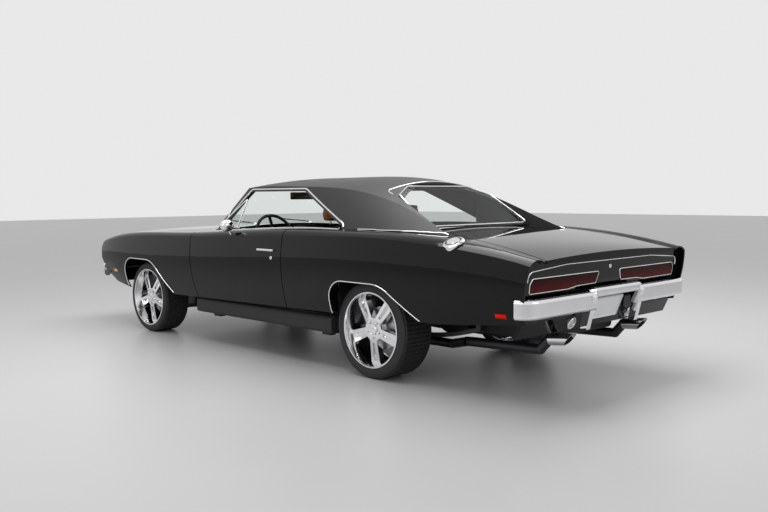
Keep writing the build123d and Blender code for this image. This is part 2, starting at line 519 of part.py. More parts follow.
rear_glass_plate = side_prism([(REAR_GLASS_TOP[0] + 12, REAR_GLASS_TOP[1] + 8), (REAR_GLASS_BASE[0], REAR_GLASS_BASE[1]),
                               (REAR_GLASS_BASE[0], REAR_GLASS_BASE[1] - GLASS), (REAR_GLASS_TOP[0] + 12, REAR_GLASS_TOP[1] + 8 - GLASS)])
rear_glass = rear_glass_plate & plan_prism([(-1000, 478), (-1640, 590), (-1640, -590), (-1000, -478)], 700)
parts["rear_window"] = (rear_glass & roof_outer) - shell - clear_outer

# Vent window, mirror and handle on each door
parts["vent_window_left"] = (side_prism(VENT_SIDE) & front_prism(VENT_LEAN, 300, 800)) - clear_outer
mirror_at = Vector(*MIRROR_AT)
head = Pos(*MIRROR_AT) * scale(Sphere(1), MIRROR_HALF)
stem = rod(tuple(mirror_at + Vector(25, -80, -110)), tuple(mirror_at + Vector(5, -15, -20)), MIRROR_STEM_R)
parts["door_mirror_left"] = (head + stem) - clear_outer
handle = rod((HANDLE_X[0], HANDLE_Y, HANDLE_Z), (HANDLE_X[1], HANDLE_Y, HANDLE_Z), 9)
for x in (HANDLE_X[0] + 16, HANDLE_X[1] - 16):
    handle = handle + rod((x, HANDLE_Y - 60, HANDLE_Z), (x, HANDLE_Y, HANDLE_Z), 8)
parts["door_handle_left"] = handle - clear_outer

# Nose
parts["front_header"] = header
grille = side_prism(GRILLE_SIDE) & clear_inner
for z in GRILLE_SLOT_Z:
    for y_low, y_high in (GRILLE_SLOT_Y, (-GRILLE_SLOT_Y[1], -GRILLE_SLOT_Y[0])):
        grille = grille - block(2521, 2700, y_low, y_high, z, z + GRILLE_SLOT_H)
parts["front_grille"] = grille
parts["front_valance"] = side_prism(VALANCE_SIDE) & clear_inner
parts["front_bumper"] = bumper_bar(*FRONT_BUMPER) - clear_outer

# Tail
face_line = TAIL_SIDE[:2]
slab = side_prism([(x - LAMP_PROUD, z) for x, z in face_line] + [(x + LAMP_DEEP, z) for x, z in reversed(face_line)])
lamp = front_prism(TAIL_LAMP, -2700, -2400) & slab
tail = (side_prism(TAIL_SIDE) & clear_inner) + (side_prism(TAIL_TOP_SIDE) & body_loft(SKIN + LID_GAP, INNER_DROP))
bracket_x = PLATE_SIDE[0][0]
tail = tail + side_prism(PLATE_SIDE, -PLATE_HALF, PLATE_HALF)
tail = tail - lamp - other_side(lamp)
for y in (-PLATE_HOLE_Y, PLATE_HOLE_Y):
    tail = tail - rod((bracket_x - 20, y, PLATE_HOLE_Z), (bracket_x + 30, y, PLATE_HOLE_Z), PLATE_HOLE_R)
parts["tail_panel"] = tail
rear_bumper = bumper_bar(*REAR_BUMPER) - block(-2700, -2500, 20 - RAISED_HALF, RAISED_HALF - 20, 400, RAISED_Z[0])
raised = block(-2624, -2624 + RAISED_T, -RAISED_HALF, RAISED_HALF, *RAISED_Z)
raised = fillet(raised.edges().filter_by(Axis.Y), 18)
rear_bumper = rear_bumper + raised
for side in (-1, 1):
    guard = side_prism(GUARD_SIDE, side * GUARD_Y - GUARD_W / 2, side * GUARD_Y + GUARD_W / 2)
    rear_bumper = rear_bumper + guard
parts["rear_bumper"] = rear_bumper - clear_outer

# Side markers, set through the skin and proud of it
skin_out = body_loft(-MARKER_PROUD)
lamps, holes = {}, {}
for label, (x_low, x_high, z_low, z_high) in (("front", FRONT_MARKER), ("rear", REAR_MARKER)):
    lamps[label] = (skin_out & block(x_low, x_high, 700, 1100, z_low, z_high)) - clear_inner
    holes[label] = block(x_low - SEAT_GAP, x_high + SEAT_GAP, 700, 1100, z_low - SEAT_GAP, z_high + SEAT_GAP)
parts["front_markers"] = both_sides(lamps["front"])
parts["tail_lamps"] = Compound(children=[*both_sides(lamp).solids(), *both_sides(lamps["rear"]).solids()])
parts["front_fender_left"] = fender - holes["front"]
parts["quarter_panel_left"] = quarter - holes["rear"]
filler = rod(FILLER_AT, FILLER_TOP, FILLER_R)
parts["fuel_filler_cap"] = filler - clear_outer

# Floor: pressings that meet edge to edge, with tunnel, sills, jacking pads and wheel houses
floor_points = FLOOR_LINE + [(x, z - FLOOR_T) for x, z in reversed(FLOOR_LINE)]
x_back, x_front = WHEELHOUSE_X
floor_plan = [(1000, FLOOR_HALF), (x_front, FLOOR_HALF), (x_front, REAR_FLOOR_HALF), (-2600, REAR_FLOOR_HALF)]
slab = side_prism(floor_points) & plan_prism(floor_plan + [(x, -y) for x, y in reversed(floor_plan)], 0)
kick_x, edge = FLOOR_LINE[1][0], TUNNEL_HALF + SEAT_GAP
sill_block = block(*SILL_X, *SILL_Y, *SILL_Z)
sill_room = block(SILL_X[0] - SEAT_GAP, SILL_X[1] + 20, SILL_Y[0] - SEAT_GAP, 1000, 0, SILL_Z[1] + SEAT_GAP)
sill = fillet(sill_block.edges().filter_by(Axis.X).sort_by(Axis.Y)[-2:], SILL_ROUND)
for x in JACK_PADS_X:
    pad_y = JACK_PAD_Y - JACK_PAD[1] / 2, JACK_PAD_Y + JACK_PAD[1] / 2
    sill = sill + block(x - JACK_PAD[0] / 2, x + JACK_PAD[0] / 2, *pad_y, SILL_Z[0] - JACK_PAD_DROP, SILL_Z[0] + 1)
house_y = REAR_FLOOR_HALF + SEAT_GAP
house_x = x_front - HOUSE_T - SEAT_GAP
house_z = WHEELHOUSE_TOP - HOUSE_T
floor_left = [
    (slab & block(kick_x, 1000, edge, 1000, 0, 1000)) - sill_room,
    (slab & block(TUNNEL_BACK, kick_x - SEAT_GAP, edge, 1000, 0, 1000)) - sill_room,
    block(TUNNEL_BACK, TUNNEL_FRONT, TUNNEL_HALF - TUNNEL_T, TUNNEL_HALF, FLOOR_TOP - FLOOR_T, TUNNEL_TOP - TUNNEL_T - SEAT_GAP),
    sill,
    block(x_back, house_x, house_y, house_y + HOUSE_T, FLOOR_LINE[-1][1] - FLOOR_T, house_z - SEAT_GAP),
    block(x_back, house_x, house_y, HOUSE_OUTER_Y, house_z, WHEELHOUSE_TOP),
    block(x_front - HOUSE_T, x_front - SEAT_GAP, house_y, FLOOR_HALF, FLOOR_TOP, WHEELHOUSE_TOP),
]
floor_middle = [
    slab & block(-2600, TUNNEL_BACK - SEAT_GAP, -1000, 1000, 0, 1000),
    block(TUNNEL_BACK, TUNNEL_FRONT, -TUNNEL_HALF, TUNNEL_HALF, TUNNEL_TOP - TUNNEL_T, TUNNEL_TOP),
]
floor = [piece for shape in floor_left for piece in both_sides(shape).solids()]
floor = floor + [piece for shape in floor_middle for piece in shape.solids()]
parts["floor_pan"] = Compound(children=floor)

# Running gear
wheel_z = FRONT_TYRE_R
post_top, post_low = wheel_z + POST_HALF, wheel_z - POST_HALF
pin_reach = ARM_GAP + ARM_T + 4
knuckle = rod((FRONT_AXLE_X, KINGPIN_Y, wheel_z), (FRONT_AXLE_X, KINGPIN_Y + FLANGE_REACH, wheel_z), FLANGE_R)
knuckle = knuckle + rod((FRONT_AXLE_X, KINGPIN_Y, post_low), (FRONT_AXLE_X, KINGPIN_Y, post_top), POST_R)
knuckle = knuckle + rod((FRONT_AXLE_X, KINGPIN_Y, post_low - pin_reach), (FRONT_AXLE_X, KINGPIN_Y, post_top + pin_reach), KINGPIN_R)
spindle_y = FRONT_WHEEL_Y + spindle_end(FRONT_TYRE_W)
knuckle = knuckle + rod((FRONT_AXLE_X, KINGPIN_Y, wheel_z), (FRONT_AXLE_X, spindle_y, wheel_z), SPINDLE_R)
parts["knuckle_left"] = knuckle
suspension = block(FRONT_AXLE_X - 80, FRONT_AXLE_X + 80, -400, 400, post_low - ARM_GAP - ARM_T, 262)
for side in (-1, 1):
    tower = block(FRONT_AXLE_X - 70, FRONT_AXLE_X + 70, 350, 420, post_low - ARM_GAP - ARM_T, post_top + ARM_GAP + ARM_T)
    for z in (post_low - ARM_GAP - ARM_T, post_top + ARM_GAP):
        arm = plan_prism([(FRONT_AXLE_X - 90, 380), (FRONT_AXLE_X - 26, KINGPIN_Y), (FRONT_AXLE_X + 26, KINGPIN_Y), (FRONT_AXLE_X + 90, 380)], z, z + ARM_T)
        eye = rod((FRONT_AXLE_X, KINGPIN_Y, z), (FRONT_AXLE_X, KINGPIN_Y, z + ARM_T), 28)
        tower = tower + arm + eye
    tower = tower - rod((FRONT_AXLE_X, KINGPIN_Y, 0), (FRONT_AXLE_X, KINGPIN_Y, 900), KINGPIN_R + KINGPIN_CLEARANCE)
    suspension = suspension + (tower if side > 0 else other_side(tower))
parts["front_suspension"] = suspension
stub_y = REAR_WHEEL_Y + spindle_end(REAR_TYRE_W)
axle = rod((REAR_AXLE_X, -600, REAR_TYRE_R), (REAR_AXLE_X, 600, REAR_TYRE_R), AXLE_R)
axle = axle + rod((REAR_AXLE_X, -stub_y, REAR_TYRE_R), (REAR_AXLE_X, stub_y, REAR_TYRE_R), SPINDLE_R)
axle = axle + Pos(REAR_AXLE_X, 0, REAR_TYRE_R) * Sphere(DIFF_R)
parts["rear_axle"] = axle
spring_top = [(-780, 352), (REAR_AXLE_X, REAR_TYRE_R - AXLE_R), (-1960, 395)]
spring_edges = []
for drop, order in ((0, 1), (SPRING_T, -1)):
    a, b, c = [Vector(x, SPRING_Y - SPRING_W / 2, z - drop) for x, z in spring_top]
    spring_edges.append(Edge.make_three_point_arc(a, b, c) if order > 0 else Edge.make_three_point_arc(c, b, a))
ends = [(spring_edges[0] @ 1, spring_edges[1] @ 0), (spring_edges[1] @ 1, spring_edges[0] @ 0)]
spring_face = Face(Wire([spring_edges[0], Edge.make_line(*ends[0]), spring_edges[1], Edge.make_line(*ends[1])]))
spring = Solid.extrude(spring_face, Vector(0, SPRING_W, 0))
spring = spring - axle
for hanger in SPRING_HANGERS:
    spring = spring + side_prism(hanger, SPRING_Y - SPRING_W / 2, SPRING_Y + SPRING_W / 2)
parts["leaf_springs"] = both_sides(spring)
parts["engine_and_gearbox"] = block(*ENGINE) + block(*GEARBOX) + block(*GEARBOX_MEMBER) + block(*GEARBOX_FOOT)
shaft_start, shaft_end = (GEARBOX[0], 0, 440), (REAR_AXLE_X + DIFF_R - 4, 0, REAR_TYRE_R + 6)
parts["drive_shaft"] = rod(shaft_start, shaft_end, SHAFT_R) - axle - parts["engine_and_gearbox"]
parts["fuel_tank"] = fillet(block(*TANK).edges(), 30)

# Exhaust: two pipes with mufflers, over the axle's side and out under the bumper
pipe = block(*MUFFLER)
for start, end in zip(EXHAUST_LINE, EXHAUST_LINE[1:]):
    pipe = pipe + rod(start, end, EXHAUST_R)
for joint in EXHAUST_LINE[1:-1]:
    pipe = pipe + Pos(*joint) * Sphere(EXHAUST_JOINT_R)
parts["exhaust"] = both_sides(pipe)

# Cabin
cushion = fillet(block(-300, 210, SEAT_Y - SEAT_HALF, SEAT_Y + SEAT_HALF, 345, 540).edges(), 40)
back = side_prism([(-190, 480), (-330, 990), (-430, 985), (-330, 470)], SEAT_Y - SEAT_HALF + 10, SEAT_Y + SEAT_HALF - 10)
back = fillet(back.edges(), 35)
rest = fillet(block(-425, -345, SEAT_Y - 130, SEAT_Y + 130, 1035, 1165).edges(), 28)
posts = None
for y in (SEAT_Y - 50, SEAT_Y + 50):
    post = rod((-383, y, 950), (-385, y, 1060), 8)
    posts = post if posts is None else posts + post
seat_feet = block(-220, 130, SEAT_Y - 180, SEAT_Y + 180, FLOOR_TOP, 360)
parts["front_seat_left"] = cushion + back + rest + posts + seat_feet
rear_base = block(-960, -560, -545, 545, 420, 610) - side_prism(floor_points)
rear_seat = fillet(block(-860, -520, -545, 545, 470, 640).edges(), 40) + side_prism([(-840, 560), (-980, 925), (-1030, 915), (-960, 560)], -545, 545)
rear_seat = (rear_seat + rear_base) - side_prism([(-700, 0), (-640, FLOOR_TOP), (-960, 540), (-1100, 540), (-1100, 0)])
for piece in floor:
    rear_seat = rear_seat - piece
parts["rear_seat"] = rear_seat
parts["dashboard"] = side_prism(DASH_SIDE, -745, 745)
direction = Vector(-cos(radians(WHEEL_TILT)), 0, sin(radians(WHEEL_TILT)))
centre = Vector(*WHEEL_AT)
wheel_plane = Plane(origin=centre, x_dir=(0, 1, 0), z_dir=direction)
steering = wheel_plane * Torus(WHEEL_R, WHEEL_RIM_R)
steering = steering + wheel_plane * Pos(0, 0, -25) * Cylinder(46, 40)
for angle in (0, 180, 270):
    steering = steering + wheel_plane * Rot(0, 0, angle) * Pos(WHEEL_R / 2, 0, -16) * Box(WHEEL_R - 8, 26, 10)
pin_start, pin_end = centre - direction * 80, centre - direction * 12
steering = steering - rod(tuple(pin_start), tuple(pin_end), COLUMN_PIN_R + SPINDLE_CLEARANCE)
parts["steering_wheel"] = steering
column = rod(tuple(centre - direction * 330), tuple(centre - direction * 52), COLUMN_R) + rod(tuple(centre - direction * 80), tuple(centre - direction * 14), COLUMN_PIN_R)
parts["dashboard"] = parts["dashboard"] + column

# Wheels and tyres
for label, axle_x, wheel_y, radius, width in (("front", FRONT_AXLE_X, FRONT_WHEEL_Y, FRONT_TYRE_R, FRONT_TYRE_W),
                                              ("rear", REAR_AXLE_X, REAR_WHEEL_Y, REAR_TYRE_R, REAR_TYRE_W)):
    place = Pos(axle_x, wheel_y, radius)
    parts[f"rim_{label}_left"] = place * rim(width)
    parts[f"tyre_{label}_left"] = place * tyre(radius, width)

half_turn = {"knuckle": FRONT_AXLE_X, "rim_front": FRONT_AXLE_X, "tyre_front": FRONT_AXLE_X, "rim_rear": REAR_AXLE_X,
             "tyre_rear": REAR_AXLE_X}
for label in [name for name in parts if name.endswith("_left")]:
    kind = label.replace("_left", "")
    axle_x = half_turn.get(kind)
    turned = None if axle_x is None else Pos(axle_x, 0, 0) * Rot(0, 0, 180) * Pos(-axle_x, 0, 0) * parts[label]
    parts[f"{kind}_right"] = turned or other_side(parts[label])

os.makedirs("parts", exist_ok=True)
for label, solid in parts.items():
    print(label, len(solid.solids()), round(solid.volume / 1e6, 2), solid.is_valid)
    export_step(solid, f"parts/{label}.step")
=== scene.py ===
"""Finishes, trim, wheels, cabin and stage for the hardtop car. Metres, +X forward, +Y left, +Z up."""

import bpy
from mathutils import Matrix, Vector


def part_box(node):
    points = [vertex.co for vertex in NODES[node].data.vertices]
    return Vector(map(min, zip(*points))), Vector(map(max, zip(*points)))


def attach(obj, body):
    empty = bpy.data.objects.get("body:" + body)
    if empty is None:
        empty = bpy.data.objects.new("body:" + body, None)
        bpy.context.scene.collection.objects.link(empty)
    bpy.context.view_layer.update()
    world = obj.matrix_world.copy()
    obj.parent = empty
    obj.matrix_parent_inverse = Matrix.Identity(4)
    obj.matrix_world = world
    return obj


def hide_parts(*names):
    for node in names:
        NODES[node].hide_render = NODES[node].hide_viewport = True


bl_info = {
    "name": "Fastback Hardtop Dressing",
    "version": (1, 0, 0),
    "blender": (4, 5, 0),
    "location": "View3D > Sidebar > Car",
    "description": "Paints the car, adds its bright trim, lamps, wheels and cabin, and sets the studio",
    "category": "Object",
}

from math import cos, pi, radians, sin, tan

import bpy
from bpy.props import FloatProperty, FloatVectorProperty, PointerProperty
from mathutils import Matrix, Vector

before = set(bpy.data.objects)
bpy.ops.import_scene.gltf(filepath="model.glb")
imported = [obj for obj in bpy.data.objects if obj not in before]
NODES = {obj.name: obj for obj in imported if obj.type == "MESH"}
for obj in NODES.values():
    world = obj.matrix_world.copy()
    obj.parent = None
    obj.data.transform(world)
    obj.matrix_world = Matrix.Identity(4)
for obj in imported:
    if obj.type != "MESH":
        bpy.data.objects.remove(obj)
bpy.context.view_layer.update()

# Camera of the studio view: place, heading and lens
CAMERA_PLACE = (-5.4088, 4.7975, 1.2484)
CAMERA_YAW, CAMERA_PITCH, CAMERA_ROLL = radians(-44.41), radians(-4.133), -0.0067
CAMERA_LENS, CAMERA_SENSOR = 40.06, 36.0

PAINTED = (
    "hood trunk_lid cowl_and_firewall rear_deck front_header front_valance tail_panel "
    "door_left door_right front_fender_left front_fender_right quarter_panel_left quarter_panel_right"
).split()
CHROMED = (
    "door_mirror_left door_mirror_right door_handle_left door_handle_right "
    "front_bumper rear_bumper fuel_filler_cap"
).split()
GLAZED = "windscreen rear_window vent_window_left vent_window_right".split()
CORNERS = ("front_left", "front_right", "rear_left", "rear_right")
HANDS = ((1, "left"), (-1, "right"))


def colour_setting(name, use, default):
    return FloatVectorProperty(name=name, description=use, subtype="COLOR", default=default)


class CarColours(bpy.types.PropertyGroup):
    """Colours of the car's finishes."""

    paint: colour_setting("Paint", "Body paint", (0.003, 0.003, 0.0033))
    vinyl: colour_setting("Vinyl", "Grained roof covering", (0.009, 0.009, 0.0095))
    chrome: colour_setting("Chrome", "Plated bright work", (0.84, 0.84, 0.86))
    alloy: colour_setting("Alloy", "Polished wheels", (0.80, 0.80, 0.81))
    leather: colour_setting("Leather", "Seat hide", (0.30, 0.115, 0.04))
    red_lens: colour_setting("Red lens", "Tail lamps and rear markers", (0.05, 0.0012, 0.002))
    red_marker: colour_setting("Red marker", "Rear side markers", (0.75, 0.02, 0.012))
    amber_lens: colour_setting("Amber lens", "Front markers", (0.9, 0.28, 0.02))
    rubber: colour_setting("Rubber", "Tyres and seals", (0.012, 0.012, 0.013))


class CarStudio(bpy.types.PropertyGroup):
    """Floor and lamps of the studio."""

    floor: colour_setting("Floor", "Floor and backdrop", (0.55, 0.55, 0.55))
    key_power: FloatProperty(
        name="Key power", description="Power of the overhead softbox", default=260.0, unit="POWER",
    )
    fill_power: FloatProperty(
        name="Fill power", description="Power of each side softbox", default=60.0, unit="POWER",
    )


def colours():
    return bpy.context.scene.car_colours


def studio():
    return bpy.context.scene.car_studio


# Materials


def shader(name):
    """New node material; returns it with its node tree and its main shader."""
    mat = bpy.data.materials.new(name)
    mat.use_nodes = True
    tree = mat.node_tree
    return mat, tree, tree.nodes["Principled BSDF"]


def object_noise(tree, scale, detail=4.0, kind="ShaderNodeTexNoise"):
    """A noise or cell texture in the car's own coordinates."""
    coord = tree.nodes.new("ShaderNodeTexCoord")
    texture = tree.nodes.new(kind)
    texture.inputs["Scale"].default_value = scale
    if "Detail" in texture.inputs:
        texture.inputs["Detail"].default_value = detail
    tree.links.new(coord.outputs["Object"], texture.inputs["Vector"])
    return texture


def spread(tree, source, low, high, socket):
    """Drives a shader socket between two values from a texture."""
    ramp = tree.nodes.new("ShaderNodeMapRange")
    ramp.inputs["To Min"].default_value = low
    ramp.inputs["To Max"].default_value = high
    tree.links.new(source, ramp.inputs["Value"])
    tree.links.new(ramp.outputs["Result"], socket)


def bump(tree, bsdf, source, strength, depth):
    """Surface relief from a texture."""
    node = tree.nodes.new("ShaderNodeBump")
    node.inputs["Strength"].default_value = strength
    node.inputs["Distance"].default_value = depth
    tree.links.new(source, node.inputs["Height"])
    tree.links.new(node.outputs["Normal"], bsdf.inputs["Normal"])


def tint(tree, source, dark, light, socket):
    """Colour between two shades from a texture."""
    ramp = tree.nodes.new("ShaderNodeValToRGB")
    ramp.color_ramp.elements[0].color = (*dark, 1.0)
    ramp.color_ramp.elements[1].color = (*light, 1.0)
    tree.links.new(source, ramp.inputs["Fac"])
    tree.links.new(ramp.outputs["Color"], socket)


def shade(colour, factor):
    return tuple(min(1.0, c * factor) for c in colour)


def surface(tree, bsdf, source, colour, shades, rough):
    """Colour between two shades and roughness between two values, from one texture."""
    dark, light = (shade(colour, factor) for factor in shades)
    tint(tree, source, dark, light, bsdf.inputs["Base Color"])
    spread(tree, source, *rough, bsdf.inputs["Roughness"])


def gloss_paint(name, colour):
    """Deep gloss paint under clear lacquer, with a trace of orange peel."""
    mat, tree, bsdf = shader(name)
    flow = object_noise(tree, 6.0, 2.0)
    surface(tree, bsdf, flow.outputs["Fac"], colour, (0.85, 1.2), (0.08, 0.14))
    peel = object_noise(tree, 420.0, 1.0)
    bump(tree, bsdf, peel.outputs["Fac"], 0.02, 0.0004)
    bsdf.inputs["Specular IOR Level"].default_value = 0.0
    bsdf.inputs["Coat Weight"].default_value = 1.0
    bsdf.inputs["Coat Roughness"].default_value = 0.02
    bsdf.inputs["Coat IOR"].default_value = 1.32
    return mat


def satin_black(name, colour, low=0.45, high=0.7, grain=180.0):
    """Dull black paint or plastic with fine grain."""
    mat, tree, bsdf = shader(name)
    fine = object_noise(tree, grain, 5.0)
    surface(tree, bsdf, fine.outputs["Fac"], colour, (0.7, 1.4), (low, high))
    bump(tree, bsdf, fine.outputs["Fac"], 0.15, 0.0006)
    return mat


def grained(name, colour, cells, low, high, depth):
    """Grained vinyl or hide: small cells with creases between them and slow changes of shade."""
    mat, tree, bsdf = shader(name)
    cloud = object_noise(tree, 9.0, 5.0)
    surface(tree, bsdf, cloud.outputs["Fac"], colour, (0.7, 1.35), (low, high))
    pebble = object_noise(tree, cells, kind="ShaderNodeTexVoronoi")
    pebble.feature = "DISTANCE_TO_EDGE"
    bump(tree, bsdf, pebble.outputs["Distance"], 0.5, depth)
    return mat


def plated(name, colour, low=0.02, high=0.07):
    """Bright plated or polished metal with faint smears."""
    mat, tree, bsdf = shader(name)
    bsdf.inputs["Metallic"].default_value = 1.0
    smear = object_noise(tree, 14.0, 6.0)
    surface(tree, bsdf, smear.outputs["Fac"], colour, (0.94, 1.04), (low, high))
    return mat


def bare_metal(name, colour, low=0.3, high=0.55):
    """Cast or drawn metal with blotches and fine pitting."""
    mat, tree, bsdf = shader(name)
    bsdf.inputs["Metallic"].default_value = 0.85
    blotch = object_noise(tree, 22.0, 8.0)
    surface(tree, bsdf, blotch.outputs["Fac"], colour, (0.6, 1.3), (low, high))
    pits = object_noise(tree, 260.0, 3.0)
    bump(tree, bsdf, pits.outputs["Fac"], 0.2, 0.0008)
    return mat


def tyre_rubber(name, colour):
    """Black rubber, a little dusty, with moulded fine ribs."""
    mat, tree, bsdf = shader(name)
    dust = object_noise(tree, 30.0, 6.0)
    surface(tree, bsdf, dust.outputs["Fac"], colour, (0.8, 1.8), (0.5, 0.75))
    skin = object_noise(tree, 500.0, 2.0)
    bump(tree, bsdf, skin.outputs["Fac"], 0.15, 0.0005)
    return mat


def window_glass(name):
    """Clear glass with the faintest green-grey tint."""
    mat, tree, bsdf = shader(name)
    bsdf.inputs["Base Color"].default_value = (0.90, 0.95, 0.93, 1.0)
    bsdf.inputs["Transmission Weight"].default_value = 1.0
    bsdf.inputs["IOR"].default_value = 1.02
    bsdf.inputs["Coat Weight"].default_value = 0.3
    bsdf.inputs["Coat Roughness"].default_value = 0.01
    film = object_noise(tree, 5.0, 3.0)
    spread(tree, film.outputs["Fac"], 0.0, 0.015, bsdf.inputs["Roughness"])
    return mat


def enamel(name, colour):
    """Smooth baked enamel with faint cloudiness and fine streaks."""
    mat, tree, bsdf = shader(name)
    cloud = object_noise(tree, 11.0, 5.0)
    surface(tree, bsdf, cloud.outputs["Fac"], colour, (0.95, 1.04), (0.22, 0.36))
    streak = object_noise(tree, 130.0, 2.0)
    bump(tree, bsdf, streak.outputs["Fac"], 0.04, 0.0003)
    return mat


def upright_ribs(tree, scale):
    """Wave texture across the car."""
    wave = object_noise(tree, scale, 2.0, "ShaderNodeTexWave")
    wave.bands_direction = "Y"
    return wave


def ribbed_lens(name, colour, ribs):
    """Moulded lamp lens with fine upright ribs and a deep glow of its own colour."""
    mat, tree, bsdf = shader(name)
    wave = upright_ribs(tree, ribs)
    surface(tree, bsdf, wave.outputs["Fac"], colour, (0.55, 1.5), (0.08, 0.2))
    bump(tree, bsdf, wave.outputs["Fac"], 0.4, 0.0012)
    bsdf.inputs["Coat Weight"].default_value = 0.8
    bsdf.inputs["Coat Roughness"].default_value = 0.03
    return mat


def tail_lens(name, lamp, marker, split):
    """Deep red lamp lens with a painted reflection: painted darker upwards, nearly black at the top and
    brighter red low down; what lies ahead of a place gets the brighter marker red.
    """
    mat, tree, bsdf = shader(name)
    wave = upright_ribs(tree, 26.0)
    coord = tree.nodes.new("ShaderNodeTexCoord")
    axes = tree.nodes.new("ShaderNodeSeparateXYZ")
    tree.links.new(coord.outputs["Object"], axes.inputs["Vector"])
    ahead = tree.nodes.new("ShaderNodeMath")
    ahead.operation = "GREATER_THAN"
    ahead.inputs[1].default_value = split
    tree.links.new(axes.outputs["X"], ahead.inputs[0])
    # Painted reflection: the lens colour is scaled from bright low down to nearly black at the top
    painted_reflection_fade = tree.nodes.new("ShaderNodeMapRange")
    for key, height in zip(("From Min", "From Max"), PAINTED_REFLECTION_HEIGHTS):
        painted_reflection_fade.inputs[key].default_value = height
    tree.links.new(axes.outputs["Z"], painted_reflection_fade.inputs["Value"])
    mix = tree.nodes.new("ShaderNodeMix")
    mix.data_type = "RGBA"
    tree.links.new(ahead.outputs["Value"], mix.inputs[0])
    tint(tree, painted_reflection_fade.outputs["Result"], shade(lamp, 1.8), shade(lamp, 0.25), mix.inputs[6])
    tint(tree, wave.outputs["Fac"], shade(marker, 0.8), shade(marker, 1.1), mix.inputs[7])
    tree.links.new(mix.outputs[2], bsdf.inputs["Base Color"])
    spread(tree, wave.outputs["Fac"], 0.12, 0.25, bsdf.inputs["Roughness"])
    bump(tree, bsdf, wave.outputs["Fac"], 0.3, 0.001)
    bsdf.inputs["Specular IOR Level"].default_value = 0.06
    return mat


# Heights between which the tail lamp lenses' painted reflection runs from bright red low down to dark at the
# top, and the place that parts them from the side markers
PAINTED_REFLECTION_HEIGHTS, MARKERS_AHEAD = (0.685, 0.757), -2.45
FINISH = {}


def mix_finishes():
    """Makes each finish once."""
    c = colours()
    FINISH.update(
        paint=gloss_paint("black_gloss_paint", c.paint),
        vinyl=grained("black_roof_vinyl", c.vinyl, 420.0, 0.38, 0.55, 0.0006),
        chrome=plated("bright_chrome", c.chrome),
        alloy=plated("polished_alloy", c.alloy, 0.06, 0.14),
        leather=grained("tan_hide", c.leather, 520.0, 0.38, 0.58, 0.0005),
        rubber=tyre_rubber("tyre_rubber", c.rubber),
        glass=window_glass("window_glass"),
        red=tail_lens("red_lens", c.red_lens, c.red_marker, MARKERS_AHEAD),
        amber=ribbed_lens("amber_lens", c.amber_lens, 60.0),
        dull=satin_black("dull_black", (0.012, 0.012, 0.013)),
        trim_black=satin_black("cabin_black", (0.016, 0.015, 0.015), 0.4, 0.6, 320.0),
        under=satin_black("underbody_coat", (0.02, 0.02, 0.02), 0.6, 0.85, 60.0),
        iron=bare_metal("dark_iron", (0.06, 0.06, 0.065)),
        steel=bare_metal("exhaust_steel", (0.42, 0.42, 0.43), 0.22, 0.4),
        engine=bare_metal("engine_enamel", (0.32, 0.08, 0.02), 0.3, 0.5),
        # Soot and painted shade: near black for the disc that stands in for the shaded inside of each tail
        # pipe
        soot=satin_black("pipe_soot", (0.006, 0.006, 0.006), 0.8, 0.95, 90.0),
        plate_white=enamel("plate_enamel", (0.80, 0.82, 0.83)),
        clear_lens=ribbed_lens("clear_lens", (0.62, 0.63, 0.64), 70.0),
        carpet=satin_black("loop_carpet", (0.010, 0.010, 0.011), 0.85, 1.0, 420.0),
        radiator=bare_metal("radiator_black", (0.03, 0.03, 0.03), 0.5, 0.7),
        # Painted reflection: the inside mirror's glass is a dull warm grey in place of a true mirror
        mirror=enamel("mirror_glass_painted_reflection", (0.13, 0.115, 0.07)),
        dial=satin_black("dial_white", (0.7, 0.7, 0.68), 0.4, 0.5, 90.0),
    )


def wear(nodes, finish):
    """Gives CAD nodes a finish."""
    for name in nodes:
        mesh = NODES[name].data
        mesh.materials.clear()
        mesh.materials.append(FINISH[finish])


# Modelling helpers


def lone(add, **settings):
    """Adds a primitive with nothing else selected, and returns it."""
    bpy.ops.object.select_all(action="DESELECT")
    add(**settings)
    return bpy.context.object


def alone(obj):
    """Selects one object only and makes it active."""
    bpy.ops.object.select_all(action="DESELECT")
    obj.select_set(True)
    bpy.context.view_layer.objects.active = obj
    return obj


def pick(obj, test, kind="FACE"):
    """Goes to edit mode with only those faces or vertices selected that pass a test."""
    alone(obj)
    bpy.ops.object.mode_set(mode="EDIT")
    bpy.ops.mesh.select_mode(type=kind)
    bpy.ops.mesh.select_all(action="DESELECT")
    bpy.ops.object.mode_set(mode="OBJECT")
    if kind == "FACE":
        for face in obj.data.polygons:
            face.select = bool(test(face.center, face.normal))
    else:
        for vertex in obj.data.vertices:
            vertex.select = bool(test(vertex.co, vertex.normal))
    bpy.ops.object.mode_set(mode="EDIT")


def done():
    bpy.ops.object.mode_set(mode="OBJECT")


def edit_all(obj):
    """Goes to edit mode with all of one object selected."""
    alone(obj)
    bpy.ops.object.mode_set(mode="EDIT")
    bpy.ops.mesh.select_all(action="SELECT")


def close_up(obj):
    """Merges doubles and turns all faces outwards."""
    edit_all(obj)
    bpy.ops.mesh.remove_doubles(threshold=1e-5)
    bpy.ops.mesh.normals_make_consistent(inside=False)
    done()
    return obj


def settle(obj):
    """Puts an object's place, turn and size into its mesh."""
    alone(obj)
    bpy.ops.object.transform_apply(location=True, rotation=True, scale=True)
    return obj


def modified(obj, kind, **settings):
    """Adds a modifier and applies it."""
    alone(obj)
    modifier = obj.modifiers.new(kind.lower(), kind)
    for key, value in settings.items():
        setattr(modifier, key, value)
    bpy.ops.object.modifier_apply(modifier=modifier.name)
    return obj


